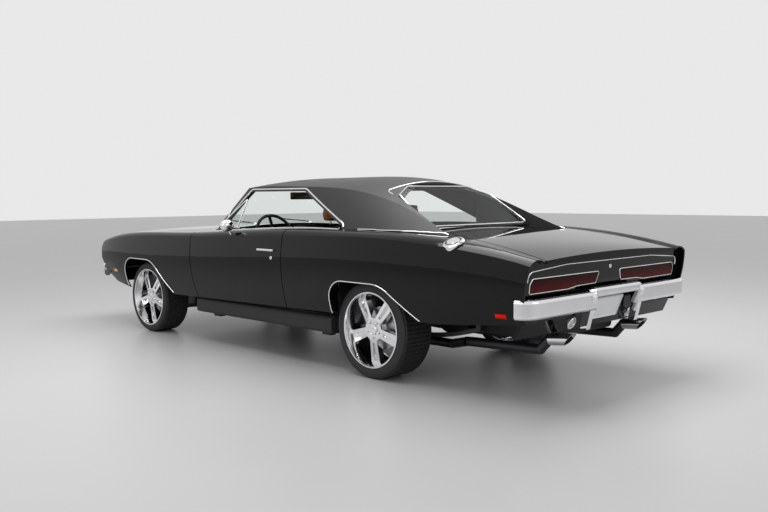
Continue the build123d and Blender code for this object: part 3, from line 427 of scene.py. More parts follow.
def copied(obj, name, move):
    """Copy with its own mesh, moved in that mesh."""
    twin = obj.copy()
    twin.data = obj.data.copy()
    twin.name = name
    bpy.context.collection.objects.link(twin)
    twin.data.transform(move)
    if move.determinant() < 0:
        twin.data.flip_normals()
    return twin


MIRROR_Y = Matrix.Scale(-1, 4, (0, 1, 0))


def joined(pieces, name):
    """One object from several, keeping each one's finish."""
    bpy.ops.object.select_all(action="DESELECT")
    for piece in pieces:
        piece.select_set(True)
    bpy.context.view_layer.objects.active = pieces[0]
    if len(pieces) > 1:
        bpy.ops.object.join()
    pieces[0].name = name
    return pieces[0]


def dressed(obj, finish, smooth=35.0):
    """Finish and soft shading below an edge angle."""
    obj.data.materials.clear()
    obj.data.materials.append(FINISH[finish])
    alone(obj)
    bpy.ops.object.shade_smooth_by_angle(angle=radians(smooth))
    return obj


def assembled(name, *parts):
    """One object from pieces, each given with its finish and edge angle."""
    return joined([dressed(*part) for part in parts], name)


def fitted(obj, body, slot, *stands_for):
    """Rides on a body and may stand for CAD nodes; the slot argument is not used."""
    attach(obj, body)
    if stands_for:
        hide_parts(*stands_for)
    return obj


def turned(name, profile, centre, axis, steps=32):
    """Turned piece: a line through points (along the axis, radius), spun about the axis."""
    axis, centre = Vector(axis).normalized(), Vector(centre)
    side = axis.orthogonal().normalized()
    spots = [centre + axis * along + side * radius for along, radius in profile]
    obj = lone(bpy.ops.mesh.primitive_plane_add, size=0.01, location=(0, 0, 0))
    obj.name = name
    bpy.ops.object.mode_set(mode="EDIT")
    bpy.ops.mesh.select_mode(type="VERT")
    bpy.ops.mesh.select_all(action="SELECT")
    bpy.ops.mesh.merge(type="CENTER")
    bpy.ops.transform.translate(value=spots[0])
    for here, there in zip(spots, spots[1:]):
        bpy.ops.mesh.extrude_region_move(TRANSFORM_OT_translate={"value": there - here})
    bpy.ops.mesh.select_all(action="SELECT")
    bpy.ops.mesh.spin(steps=steps, angle=2 * pi, center=centre, axis=axis)
    done()
    return close_up(obj)


def rod_along(name, points, radius, closed=False, rings=2):
    """Round strip or bar along points, from a bevelled curve."""
    curve = bpy.data.curves.new(name, "CURVE")
    curve.dimensions = "3D"
    line = curve.splines.new("POLY")
    line.points.add(len(points) - 1)
    for spot, place in zip(line.points, points):
        spot.co = (*place, 1.0)
    line.use_cyclic_u = closed
    curve.bevel_depth = radius
    curve.bevel_resolution = rings
    curve.use_fill_caps = not closed
    obj = bpy.data.objects.new(name, curve)
    bpy.context.collection.objects.link(obj)
    alone(obj)
    bpy.ops.object.convert(target="MESH")
    return bpy.context.object


def rounded(corners, closed=False, steps=7):
    """Outline of (u, v, radius) corners in mm with true arcs, as (u, v) points in metres."""
    points, count = [], len(corners)
    for k, (u, v, radius) in enumerate(corners):
        here = Vector((u, v)) / 1000
        if radius <= 0 or (not closed and k in (0, count - 1)):
            points.append(here)
            continue
        before = (Vector(corners[k - 1][:2]) / 1000 - here).normalized()
        after = (Vector(corners[(k + 1) % count][:2]) / 1000 - here).normalized()
        half = before.angle(after) / 2
        reach, weight = radius / 1000 / tan(half), sin(half)
        a, b = here + before * reach, here + after * reach
        for n in range(steps + 1):
            t = n / steps
            low, mid, high = (1 - t) ** 2, 2 * weight * t * (1 - t), t * t
            points.append((a * low + here * mid + b * high) / (low + mid + high))
    return points


def dense(points, step=0.03, closed=False):
    """The same line with no run longer than a step."""
    line = []
    runs = list(zip(points, points[1:] + points[:1])) if closed else list(zip(points, points[1:]))
    for a, b in runs:
        count = max(1, int((b - a).length / step))
        line += [a.lerp(b, n / count) for n in range(count)]
    return line if closed else line + [points[-1]]


def grown(points, distance, closed=False):
    """The line moved sideways: to its left for a positive distance."""
    moved, count = [], len(points)
    for k, here in enumerate(points):
        before = points[k - 1] if closed or k else here
        after = points[(k + 1) % count] if closed or k + 1 < count else here
        along = (after - before).normalized()
        moved.append(here + Vector((-along.y, along.x)) * distance)
    return moved


def bright(obj, body="body"):
    """Plated piece on a body."""
    return fitted(dressed(obj, "chrome"), body, "bright_chrome")


def struck(nodes, start, way):
    """First point where a ray meets any of the named CAD nodes, or None."""
    best, start, way = None, Vector(start), Vector(way)
    for name in nodes:
        found, point, _, _ = NODES[name].ray_cast(start, way)
        if found and (best is None or (point - start).length < (best - start).length):
            best = point.copy()
    return best


def on_side(points, nodes, side, least=0.55, lift=0.001):
    """Side-view points (x, z) laid on the left (+1) or right (-1) of the car."""
    spots = [struck(nodes, (u, side * 1.4, v), (0, -side, 0)) for u, v in points]
    return [spot + Vector((0, side * lift, 0)) for spot in spots if spot and abs(spot.y) > least]


def on_tail(points, nodes, lift=0.001):
    """Rear-view points (y, z) laid on the tail."""
    spots = [struck(nodes, (-3.0, u, v), (1, 0, 0)) for u, v in points]
    return [spot - Vector((lift, 0, 0)) for spot in spots if spot]


def on_top(points, nodes, lift=0.001):
    """Plan points (x, y) laid on the top of the car."""
    spots = [struck(nodes, (u, v, 2.0), (0, 0, -1)) for u, v in points]
    return [spot + Vector((0, 0, lift)) for spot in spots if spot]


def bright_strip(name, points, radius, body="body", closed=False, finish="chrome", slot="bright_chrome"):
    """Bright moulding along points, riding on a body."""
    if len(points) < 2:
        raise RuntimeError(f"{name} found no panel to lie on")
    return fitted(dressed(rod_along(name, points, radius, closed), finish, 60), body, slot)


class CAR_OT_finishes(bpy.types.Operator):
    """Paint, plating, glass, hide and rubber on the car's own pieces"""

    bl_idname = "car.finishes"
    bl_label = "Finishes"

    def execute(self, context):
        mix_finishes()
        wear(PAINTED, "paint")
        wear(CHROMED, "chrome")
        wear(GLAZED, "glass")
        wear(["roof_and_pillars"], "vinyl")
        wear(["front_grille"], "dull")
        wear(["tail_lamps"], "red")
        wear(["front_markers"], "amber")
        wear(["floor_pan", "fuel_tank"], "under")
        wear(["knuckle_left", "knuckle_right", "front_suspension", "rear_axle", "leaf_springs"], "iron")
        wear(["drive_shaft", "exhaust"], "iron")
        wear(["engine_and_gearbox"], "engine")
        wear(["front_seat_left", "front_seat_right", "rear_seat"], "leather")
        wear(["dashboard", "steering_wheel"], "trim_black")
        wear([f"rim_{c}" for c in CORNERS], "alloy")
        wear([f"tyre_{c}" for c in CORNERS], "rubber")
        return {"FINISHED"}


# Outlines of openings and trim, in mm: side views (x, z, corner radius)
FRONT_ARCH = [
    (2015, 200, 0), (2065, 440, 60), (2043, 667, 150), (1525, 667, 260), (1115, 290, 60), (1115, 200, 0),
]
REAR_ARCH = [
    (-1012, 200, 0), (-919, 440, 60), (-939, 656, 150), (-1447, 656, 260), (-1802, 400, 60), (-1857, 200, 0),
]
WINDOW_FRAME = [(724, 935, 0), (358, 1294, 26), (-354, 1294, 106), (-926, 1030, 54), (-912, 970, 0)]
VENT_BAR, VENT_PILLAR = [(337, 948, 0), (371, 1212, 0)], [(646, 948, 0), (378, 1212, 0)]
TAIL_FRAME = [
    (-868, 745, 0), (-876, 801, 46), (-500, 829, 900), (500, 829, 900), (876, 801, 46), (868, 745, 0),
]
PLATE_AT, PLATE_LEAN = (-2.5318, 0.0, 0.5302), radians(22.6)
TAIL_LAMP = [
    (836, 680, 8), (838, 728, 10), (818, 757, 12), (130, 757, 6), (152, 694, 10), (350, 692, 30),
    (450, 680, 30),
]
# Front views (y, z, corner radius): grille surround and headlamp cover
GRILLE_FRAME = [(770, 590, 30), (785, 775, 40), (-785, 775, 40), (-770, 590, 30)]
# Grille's front in side view (x, z)
GRILLE_FACE = [(2520, 795), (2548, 750), (2536, 640), (2500, 565)]
LAMP_COVER = [(742, 604, 10), (748, 762, 10), (452, 762, 10), (452, 604, 10)]
# Rear window's sunk edge in plan (x, y, corner radius), windscreen's edge from the front (y, z, radius)
REAR_WINDOW_EDGE = [(-1150, 527, 0), (-1066, 508, 45), (-1066, -508, 45), (-1150, -527, 0)]
REAR_GLASS_EDGE = [(-1098, 482, 30), (-1098, -482, 30), (-1506, -572, 40), (-1506, 572, 40)]
WINDSCREEN_EDGE = [(-762, 975, 0), (-583, 1331, 30), (583, 1331, 30), (762, 975, 0)]
# Its trim ends where the roof begins, along the car
ROOF_FRONT = 0.415


class CAR_OT_arch_mouldings(bpy.types.Operator):
    """Thin bright mouldings round the four wheel openings"""

    bl_idname = "car.arch_mouldings"
    bl_label = "Arch mouldings"

    def execute(self, context):
        for label, outline, panel in (
            ("front", FRONT_ARCH, "front_fender"), ("rear", REAR_ARCH, "quarter_panel"),
        ):
            line = grown(dense(rounded(outline), 0.025), -0.006)
            for side, hand in HANDS:
                points = on_side(line, [f"{panel}_{hand}"], side, least=0.80)
                bright_strip(f"arch_moulding_{label}_{hand}", points, 0.0045)
        return {"FINISHED"}


def roof_foot(x, side):
    """Point of the roof's covering just above the quarter panel at one place along the car."""
    hand = "left" if side > 0 else "right"
    for step in range(60):
        z = 1.10 - step * 0.003
        roof = struck(["roof_and_pillars"], (x, side * 1.4, z), (0, -side, 0))
        panel = struck([f"quarter_panel_{hand}"], (x, side * 1.4, z - 0.004), (0, -side, 0))
        if roof and panel and abs(panel.y) > abs(roof.y) - 0.002:
            return roof + Vector((0, side * 0.002, 0.001))
    return None


class CAR_OT_window_trim(bpy.types.Operator):
    """Bright rails round all windows, along the belt and under the roof covering"""

    bl_idname = "car.window_trim"
    bl_label = "Window trim"

    def execute(self, context):
        frame_line = dense(rounded(WINDOW_FRAME), 0.03)
        for side, hand in HANDS:
            points = on_side(frame_line, ["roof_and_pillars"], side)
            bright_strip(f"drip_rail_{hand}", points, 0.007)
            vent = f"vent_window_{hand}"
            for label, ends in (("bar", VENT_BAR), ("pillar", VENT_PILLAR)):
                line = dense(rounded(ends), 0.03)
                bright_strip(f"vent_{label}_{hand}", on_side(line, [vent], side), 0.0065, f"door_{hand}")
            belt = dense([Vector((-0.400, side * 0.824)), Vector((-0.905, side * 0.826))], 0.04)
            bright_strip(f"quarter_belt_{hand}", on_top(belt, [f"quarter_panel_{hand}"]), 0.005)
            belt = dense([Vector((0.690, side * 0.822)), Vector((-0.380, side * 0.824))], 0.04)
            bright_strip(f"door_belt_{hand}", on_top(belt, [f"door_{hand}"]), 0.005, f"door_{hand}")
            feet = [roof_foot(-1.06 - 0.03 * n, side) for n in range(31)]
            bright_strip(f"roof_trim_{hand}", [foot for foot in feet if foot], 0.0055)
        edge = dense(rounded(REAR_WINDOW_EDGE), 0.03)
        bright_strip("rear_window_trim", on_top(edge, ["roof_and_pillars"]), 0.006)
        glass = dense(rounded(REAR_GLASS_EDGE, True), 0.03, True)
        bright_strip("rear_glass_trim", on_top(glass, ["rear_window"]), 0.006, closed=True)
        edge = dense(rounded(WINDSCREEN_EDGE), 0.03)
        spots = [struck(["roof_and_pillars", "windscreen"], (2.0, u, v), (-1, 0, 0)) for u, v in edge]
        bright_strip("windscreen_trim", [spot for spot in spots if spot and spot.x > ROOF_FRONT], 0.006)
        return {"FINISHED"}


class CAR_OT_tail_trim(bpy.types.Operator):
    """Tail frame, lamp outlines, reversing lamps, lock and blank plate"""

    bl_idname = "car.tail_trim"
    bl_label = "Tail trim"

    def execute(self, context):
        bright_strip("tail_frame", on_tail(dense(rounded(TAIL_FRAME), 0.03), ["tail_panel"]), 0.005)
        for side, hand in HANDS:
            outline = [(side * u, v, r) for u, v, r in TAIL_LAMP]
            line = grown(rounded(outline, True), -side * 0.005, True)
            points = on_tail(dense(line, 0.03, True), ["tail_panel"])
            bright_strip(f"lamp_outline_{hand}", points, 0.0045, closed=True)
            self.reversing_lamp(side, hand)
        self.lock()
        self.plate()
        return {"FINISHED"}

    def reversing_lamp(self, side, hand):
        """Round clear lamp in a bright dished ring."""
        face = struck(["tail_panel"], (-3.0, side * 0.335, 0.452), (1, 0, 0))
        back = Vector((-92, 0, -44)).normalized()
        ring = turned(
            "ring", [(-0.004, 0.041), (0.006, 0.041), (0.010, 0.037), (0.008, 0.030), (0.002, 0.028)], face,
            back, 40,
        )
        lens = turned("lens", [(0.002, 0.0285), (0.007, 0.022), (0.010, 0.012), (0.011, 0.0)], face, back, 40)
        bright(ring).name = f"reversing_lamp_ring_{hand}"
        fitted(dressed(lens, "clear_lens"), "body", "clear_glass").name = f"reversing_lamp_lens_{hand}"

    def lock(self):
        """Small bright lock button between the lamps."""
        face = struck(["tail_panel"], (-3.0, 0.0, 0.788), (1, 0, 0))
        button = turned(
            "trunk_lock", [(-0.003, 0.014), (0.004, 0.014), (0.007, 0.011), (0.006, 0.007), (0.008, 0.0)],
            face, (-1, 0, 0), 28,
        )
        bright(button)

    def plate(self):
        """Blank pressed plate with rounded corners and raised border, and its two screws."""
        plate = lone(bpy.ops.mesh.primitive_cube_add, size=1.0, location=(0, 0, 0))
        plate.scale = (0.0022, 0.305, 0.150)
        settle(plate)
        plate.name = "blank_plate"
        for edge in plate.data.edges:
            a, b = (plate.data.vertices[k].co for k in edge.vertices)
            edge.select = abs(a.x - b.x) > 0.001
        bpy.ops.object.mode_set(mode="EDIT")
        bpy.ops.mesh.select_mode(type="EDGE")
        bpy.ops.mesh.bevel(offset=0.012, segments=5)
        done()
        pick(plate, lambda centre, normal: normal.x < -0.9)
        bpy.ops.mesh.inset(thickness=0.006)
        bpy.ops.mesh.inset(thickness=0.003, depth=-0.0012)
        done()
        plate.rotation_euler = (0, -PLATE_LEAN, 0)
        plate.location = PLATE_AT
        settle(plate)
        fitted(dressed(plate, "plate_white", 40), "body", "bright_chrome")
        back = Vector((-cos(PLATE_LEAN), 0, -sin(PLATE_LEAN)))
        for y in (-0.0889, 0.0889):
            outline = [
                (-0.006, 0.003), (-0.001, 0.003), (-0.001, 0.0055), (0.001, 0.0055), (0.0024, 0.003),
                (0.0026, 0.0),
            ]
            screw = turned("plate_screw", outline, (-2.5567, y, 0.5893), back, 16)
            bright(screw)


class CAR_OT_exhaust_tips(bpy.types.Operator):
    """Bright slant-cut tips on the two tail pipes"""

    bl_idname = "car.exhaust_tips"
    bl_label = "Exhaust tips"

    def execute(self, context):
        for side, hand in HANDS:
            end = Vector((-2.495, side * 0.432, 0.363))
            way = (end - Vector((-2.405, side * 0.436, 0.354))).normalized()
            outline = [(-0.090, 0.0325), (-0.086, 0.0365), (0.110, 0.0395), (0.110, 0.0370), (-0.020, 0.0340)]
            tip = turned(f"exhaust_tip_{hand}", outline, end, way, 40)
            edit_all(tip)
            slant = {"plane_co": (-2.5465, end.y, 0.368), "plane_no": (-0.77, 0, -0.64)}
            bpy.ops.mesh.bisect(**slant, clear_outer=True, use_fill=False)
            done()
            modified(tip, "SOLIDIFY", thickness=0.001, offset=0.0)
            bright(tip)
            # Near-black disc inside the tip: partly soot, partly painted shade standing in for the dark
            # inside of the pipe
            plug = turned(
                f"exhaust_dark_{hand}", [(0.0006, 0.0), (0.0006, 0.0318), (0.0, 0.0318)], end, way, 24,
            )
            fitted(dressed(plug, "soot"), "body", "dark_iron")
        return {"FINISHED"}


def bevelled(name, low, high, offset=0.004, segments=3):
    """Block between two corners with rounded edges."""
    low, high = Vector(low), Vector(high)
    obj = lone(bpy.ops.mesh.primitive_cube_add, size=1.0, location=(low + high) / 2)
    obj.scale = high - low
    settle(obj)
    obj.name = name
    edit_all(obj)
    bpy.ops.mesh.bevel(offset=offset, segments=segments)
    done()
    return obj


def panelled(obj, towards, border=0.012, depth=-0.004):
    """Sinks a bordered field into the largest face that looks one way."""
    towards = Vector(towards)
    widest = max(
        (f for f in obj.data.polygons if f.normal.dot(towards) > 0.95), key=lambda f: f.area,
    ).center.copy()
    pick(obj, lambda centre, normal: (centre - widest).length < 1e-4)
    bpy.ops.mesh.inset(thickness=border)
    bpy.ops.mesh.inset(thickness=abs(depth), depth=depth)
    done()
    return obj


def pair(obj, body, slot, *stands_for):
    """Fits a left-hand piece and its mirrored twin; {} in a name stands for the hand."""
    stem = obj.name
    twin = copied(obj, stem.replace("left", "right"), MIRROR_Y)
    fitted(obj, body.format("left"), slot, *(node.format("left") for node in stands_for))
    fitted(twin, body.format("right"), slot, *(node.format("right") for node in stands_for))
    return obj, twin


def bright_pair(obj, body):
    """Plated left-hand piece and its twin."""
    pair(dressed(obj, "chrome"), body, "bright_chrome")


def wheel_place(corner):
    """Centre, outward side, radius and half width of one wheel's tyre."""
    low, high = (Vector(spot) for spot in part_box(f"tyre_{corner}"))
    return (low + high) / 2, (
        1 if corner.endswith("left") else -1
    ), (high.z - low.z) / 2, (high.y - low.y) / 2


# Tyre bead and rim lip radii, tread blocks round the tyre, stud circle radius, brake disc radius
BEAD_R, LIP_R = 0.2458, 0.2598
TREAD_STEPS, TREAD_DEPTH = 72, 0.0062
STUDS, STUD_R = 5, 0.05715
DISC_R, CALIPER_FROM, CALIPER_TO, CALIPER_HALF = 0.150, 0.098, 0.170, 0.058


class CAR_OT_tyres(bpy.types.Operator):
    """Tyres with tread blocks, shoulder and ringed sidewalls in place of the plain ones"""

    bl_idname = "car.tyres"
    bl_label = "Tyres"

    def execute(self, context):
        for corner in CORNERS:
            centre, _, radius, half = wheel_place(corner)
            base, bead, middle = radius - TREAD_DEPTH, half - 0.0098, (LIP_R + radius) / 2
            tread = half - 0.021
            wall = [
                (bead, BEAD_R), (bead, LIP_R), (bead + 0.003, LIP_R + 0.003), (bead + 0.0045, LIP_R + 0.004),
                (half - 0.003, middle - 0.016), (
                    half - 0.0018, middle - 0.010,
                ), (half - 0.0004, middle - 0.009),
                (
                    half - 0.0004, middle - 0.006,
                ), (half - 0.0012, middle - 0.005), (half - 0.0010, middle + 0.004),
                (half - 0.004, radius - 0.018), (half - 0.009, radius - 0.010), (tread, base),
            ]
            ribs = [(tread * k / 5, base) for k in (3, 1, -1, -3)]
            outline = wall + ribs + [(-along, out) for along, out in reversed(wall)]
            tyre = turned(f"treaded_tyre_{corner}", outline, centre, (0, 1, 0), TREAD_STEPS)
            limit = base * cos(pi / TREAD_STEPS) - 0.0004

            def on_tread(spot, normal):
                away = spot - centre
                return Vector((away.x, away.z)).length > limit and abs(away.y) < tread

            pick(tyre, on_tread)
            bpy.ops.mesh.inset(thickness=0.0026, depth=0.0060, use_individual=True)
            done()
            fitted(dressed(tyre, "rubber", 28), f"wheel_{corner}", "tyre_rubber", f"tyre_{corner}")
        return {"FINISHED"}


class CAR_OT_wheel_fittings(bpy.types.Operator):
    """Lug nuts, plain centre caps, brake discs and calipers"""

    bl_idname = "car.wheel_fittings"
    bl_label = "Wheel fittings"

    NUT = ((-0.006, 0.0084), (0.0, 0.0084), (0.002, 0.0108), (0.014, 0.0108), (0.018, 0.0070), (0.0188, 0.0))
    CAP = (
        (0.0085, 0.0352), (0.0105, 0.0352), (0.0125, 0.0325), (0.0125, 0.0290),
        (0.0110, 0.0275), (0.0130, 0.0150), (0.0138, 0.0),
    )

    def execute(self, context):
        for corner in CORNERS:
            centre, side, _, half = wheel_place(corner)
            out = Vector((0, side, 0))
            face = centre + out * (half - 0.0355)
            nuts = []
            for k in range(STUDS):
                turn = 2 * pi * (k + 0.5) / STUDS + pi / 2
                seat = face + Vector((cos(turn), 0, sin(turn))) * STUD_R
                nuts.append(dressed(turned("nut", self.NUT, seat, out, 6), "chrome", 30))
            fitted(joined(nuts, f"lug_nuts_{corner}"), f"wheel_{corner}", "bright_chrome")
            cap = turned(f"centre_cap_{corner}", self.CAP, face, out, 40)
            bright(cap, f"wheel_{corner}")
            self.brake(corner, centre, side, half)
        return {"FINISHED"}

    def brake(self, corner, centre, side, half):
        """Disc on the wheel, caliper and its arm on what carries the wheel."""
        out, front = Vector((0, side, 0)), corner.startswith("front")
        hub = half - 0.0875
        near, far = (-0.003, 0.011) if front else (0.010, 0.024)
        outline = [
            (near, 0.085), (near, DISC_R), (near + 0.005, DISC_R), (near + 0.005, DISC_R - 0.010),
            (
                far - 0.005, DISC_R - 0.010,
            ), (far - 0.005, DISC_R), (far, DISC_R), (far, 0.085), (hub - 0.001, 0.078),
            (hub - 0.001, 0.034), (hub - 0.006, 0.034), (hub - 0.006, 0.073), (near, 0.085),
        ]
        disc = turned(f"brake_disc_{corner}", outline, centre, out, 64)
        fitted(dressed(disc, "steel", 30), f"wheel_{corner}", "bare_steel")
        body = f"knuckle_{corner[6:]}" if front else "body"
        reach = -1 if front else 1
        inner, outer = near - 0.020, far + 0.009

        def corners(x_ends, y_ends, z_half):
            x_ends, y_ends = sorted(reach * x for x in x_ends), sorted(side * y for y in y_ends)
            return [centre + Vector((x, y, z)) for x, y, z in zip(x_ends, y_ends, (-z_half, z_half))]

        shell = bevelled(
            "caliper", *corners((CALIPER_FROM, CALIPER_TO), (inner, outer), CALIPER_HALF), 0.009, 4,
        )
        gap = corners(
            (CALIPER_FROM - 0.01, CALIPER_TO - 0.016), (near - 0.003, far + 0.003), CALIPER_HALF + 0.01,
        )
        slot = bevelled("slot", *gap, 0.001, 1)
        modified(shell, "BOOLEAN", operation="DIFFERENCE", object=slot, solver="EXACT")
        bpy.data.objects.remove(slot)
        dressed(shell, "iron", 35)
        arm = bevelled("arm", *corners((0.045, 0.140), (inner - 0.008, inner), 0.035), 0.003, 2)
        dressed(arm, "iron", 35)
        outline = [
            (inner - 0.008, 0.032), (inner - 0.008, 0.058), (inner, 0.058), (inner, 0.032),
            (inner - 0.008, 0.032),
        ]
        eye = turned("eye", outline, centre, out, 32)
        dressed(eye, "iron", 35)
        fitted(joined([shell, arm, eye], f"brake_caliper_{corner}"), body, "dark_iron")


def puffed(obj, cap, pressure=4.0):
    """Fills a pad as cloth under pressure for 20 frames, moving no point further than a cap."""
    scene = bpy.context.scene
    rest = [vertex.co.copy() for vertex in obj.data.vertices]
    alone(obj)
    cloth = obj.modifiers.new("filling", "CLOTH")
    cloth.settings.use_pressure = True
    cloth.settings.uniform_pressure_force = pressure
    cloth.settings.effector_weights.gravity = 0.0
    cloth.point_cache.frame_start, cloth.point_cache.frame_end = 1, 20
    for moment in range(1, 21):
        scene.frame_set(moment)
    bpy.ops.object.modifier_apply(modifier=cloth.name)
    scene.frame_set(1)
    for vertex, before in zip(obj.data.vertices, rest):
        move = vertex.co - before
        if move.length > cap:
            vertex.co = before + move * (cap / move.length)
    obj.data.update()


def pad(name, place, cap, voxel=0.011, round_off=10):
    """Upholstered form: a cube cut fine, each point of it put in place, then filled and smoothed."""
    obj = lone(bpy.ops.mesh.primitive_cube_add, size=1.0, location=(0.5, 0.5, 0.5))
    settle(obj)
    obj.name = name
    edit_all(obj)
    bpy.ops.mesh.subdivide(number_cuts=9)
    done()
    for vertex in obj.data.vertices:
        vertex.co = place(*vertex.co)
    modified(obj, "REMESH", mode="VOXEL", voxel_size=voxel)
    modified(obj, "SMOOTH", factor=0.5, iterations=round_off)
    puffed(obj, cap)
    return modified(obj, "SUBSURF", levels=1, render_levels=1)


def stitched(obj, seams, depth=0.006, width=0.006):
    """Pulls sewn lines into a pad: a seam gives a point's distance from it, or None where it doesn't run."""
    surface = [(vertex.co.copy(), vertex.normal.copy()) for vertex in obj.data.vertices]
    moved = []
    for spot, normal in surface:
        pull = 0.0
        for seam in seams:
            away = seam(spot, normal)
            if away is not None and abs(away) < 3 * width:
                pull = max(pull, depth * 2.718 ** (-((away / width) ** 2)))
        moved.extend(spot - normal * pull)
    obj.data.vertices.foreach_set("co", moved)
    obj.data.update()
    return obj


def mixed(low, high, share):
    return low + (high - low) * share


def lengthwise(offsets, runs):
    """Seams at places across the car, each where a test of point and normal says it runs."""
    return [lambda p, n, k=k: p.y - k if runs(p, n) else None for k in offsets]


def bolster(across):
    """How far a seat's side swells, from its place across the seat."""
    return 0.020 * max(0.0, abs(across - 0.5) * 2 - 0.55) / 0.45


class CAR_OT_front_seats(bpy.types.Operator):
    """Two bucket seats: pleated cushion and back, headrest on bright posts, seat runners"""

    bl_idname = "car.front_seats"
    bl_label = "Front seats"

    def execute(self, context):
        middle, node = 0.402, "front_seat_{}"

        def cushion(a, b, c):
            crown = 0.014 * sin(pi * a) + 0.010 * cos(pi * (b - 0.5)) + bolster(b)
            squeeze = 1 - 0.05 * sin(pi * a)
            height = 0.372 + c * (0.122 + crown) + 0.018 * a * c
            return mixed(-0.286, 0.196, a), middle + (b - 0.5) * 0.440 * squeeze, height

        def back(a, b, c):
            behind, before = mixed(-0.322, -0.418, c), mixed(-0.212, -0.344, c)
            x = mixed(behind, before + bolster(b) + 0.010 * sin(pi * c), a)
            width = 0.418 * (1 - 0.16 * max(0.0, c - 0.6) / 0.4)
            return x, middle + (b - 0.5) * width, mixed(mixed(0.486, 0.976, c), mixed(0.496, 0.978, c), a)

        def rest(a, b, c):
            width = 0.232 * (1 - 0.10 * abs(c - 0.5) * 2)
            return mixed(-0.414, -0.356, a), middle + (b - 0.5) * width, mixed(1.047, 1.153, c)

        lines = [middle + k for k in (-0.100, -0.050, 0.0, 0.050, 0.100)]
        pleats = lengthwise(lines, lambda p, n: n.z > 0.6 and -0.23 < p.x < 0.13)
        pleats += lengthwise((middle - 0.148, middle + 0.148), lambda p, n: n.z > 0.3 and -0.25 < p.x < 0.15)
        pleats += [lambda p, n: p.x - 0.140 if n.z > 0.3 and abs(p.y - middle) < 0.150 else None]
        pleats += [lambda p, n: p.z - 0.455 if abs(n.z) < 0.5 else None]
        seat = stitched(pad("seat_cushion_left", cushion, 0.014), pleats)
        seams = lengthwise(lines, lambda p, n: n.x > 0.6 and 0.56 < p.z < 0.86)
        seams += lengthwise((middle - 0.146, middle + 0.146), lambda p, n: n.x > 0.3 and 0.54 < p.z < 0.88)
        seams += [lambda p, n: p.z - 0.870 if n.x > 0.3 and abs(p.y - middle) < 0.150 else None]
        seams += [lambda p, n: p.x - mixed(-0.300, -0.395, (p.z - 0.48) / 0.5) if abs(n.x) < 0.5 else None]
        rear = stitched(pad("seat_back_left", back, 0.012), seams)
        piping = [lambda p, n: p.x + 0.392 if abs(n.x) < 0.6 else None]
        head = stitched(pad("headrest_left", rest, 0.010, 0.009), piping, 0.004, 0.005)
        for piece in (seat, rear, head):
            for each in pair(dressed(piece, "leather", 60), "body", "tan_leather", node):
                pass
        posts, ferrule = [], [(0, 0.0065), (0, 0.013), (0.006, 0.011), (0.006, 0.0065)]
        for y in (middle - 0.05, middle + 0.05):
            posts.append(rod_along("post", [(-0.383, y, 0.955), (-0.385, y, 1.062)], 0.0065, rings=3))
            posts.append(turned("ferrule", ferrule, (-0.384, y, 0.984), (0, 0, 1), 20))
        pair(
            joined([dressed(post, "chrome") for post in posts], "headrest_posts_left"), "body",
            "bright_chrome", node,
        )
        low, high = (-0.22, middle - 0.18, 0.3105), (0.13, middle + 0.18, 0.372)
        runner = panelled(bevelled("seat_runners_left", low, high, 0.010, 3), (1, 0, 0), 0.008)
        pair(dressed(runner, "trim_black"), "body", "dark_plastic", node)
        return {"FINISHED"}


class CAR_OT_rear_seat(bpy.types.Operator):
    """Rear bench with two hollows, pleats and a raised middle"""

    bl_idname = "car.rear_seat"
    bl_label = "Rear seat"

    def execute(self, context):
        def dip(b):
            return 0.5 - 0.5 * cos(4 * pi * b)

        def cushion(a, b, c):
            top = 0.606 - 0.020 * dip(b) + 0.014 * sin(pi * a) + 0.012 * a
            low = mixed(0.520, 0.440, a)
            return mixed(-0.845, -0.535, a), (b - 0.5) * 1.060, mixed(low, top, c)

        def back(a, b, c):
            behind, before = mixed(-0.950, -1.020, c), mixed(-0.848, -0.978, c)
            x = mixed(behind, before - 0.012 * dip(b) * sin(pi * c), a)
            return x, (b - 0.5) * 1.060, mixed(0.600, 0.908, c)

        lines = [side * k for side in (-1, 1) for k in (0.105, 0.170, 0.235, 0.300, 0.365, 0.430)]
        pleats = lengthwise(lines, lambda p, n: n.z > 0.6 and -0.82 < p.x < -0.59)
        pleats += [
            lambda p, n: p.x + 0.585 if n.z > 0.3 else None, lambda p, n: p.z - 0.535 if n.x > 0.5 else None,
        ]
        seams = lengthwise(lines, lambda p, n: n.x > 0.5 and p.z < 0.85)
        seams += [lambda p, n: p.z - 0.855 if n.x > 0.3 else None]
        for name, place, sewn in (("rear_cushion", cushion, pleats), ("rear_backrest", back, seams)):
            piece = stitched(pad(name, place, 0.012, 0.013), sewn, 0.007, 0.008)
            fitted(dressed(piece, "leather", 60), "body", "tan_leather", "rear_seat")
        return {"FINISHED"}


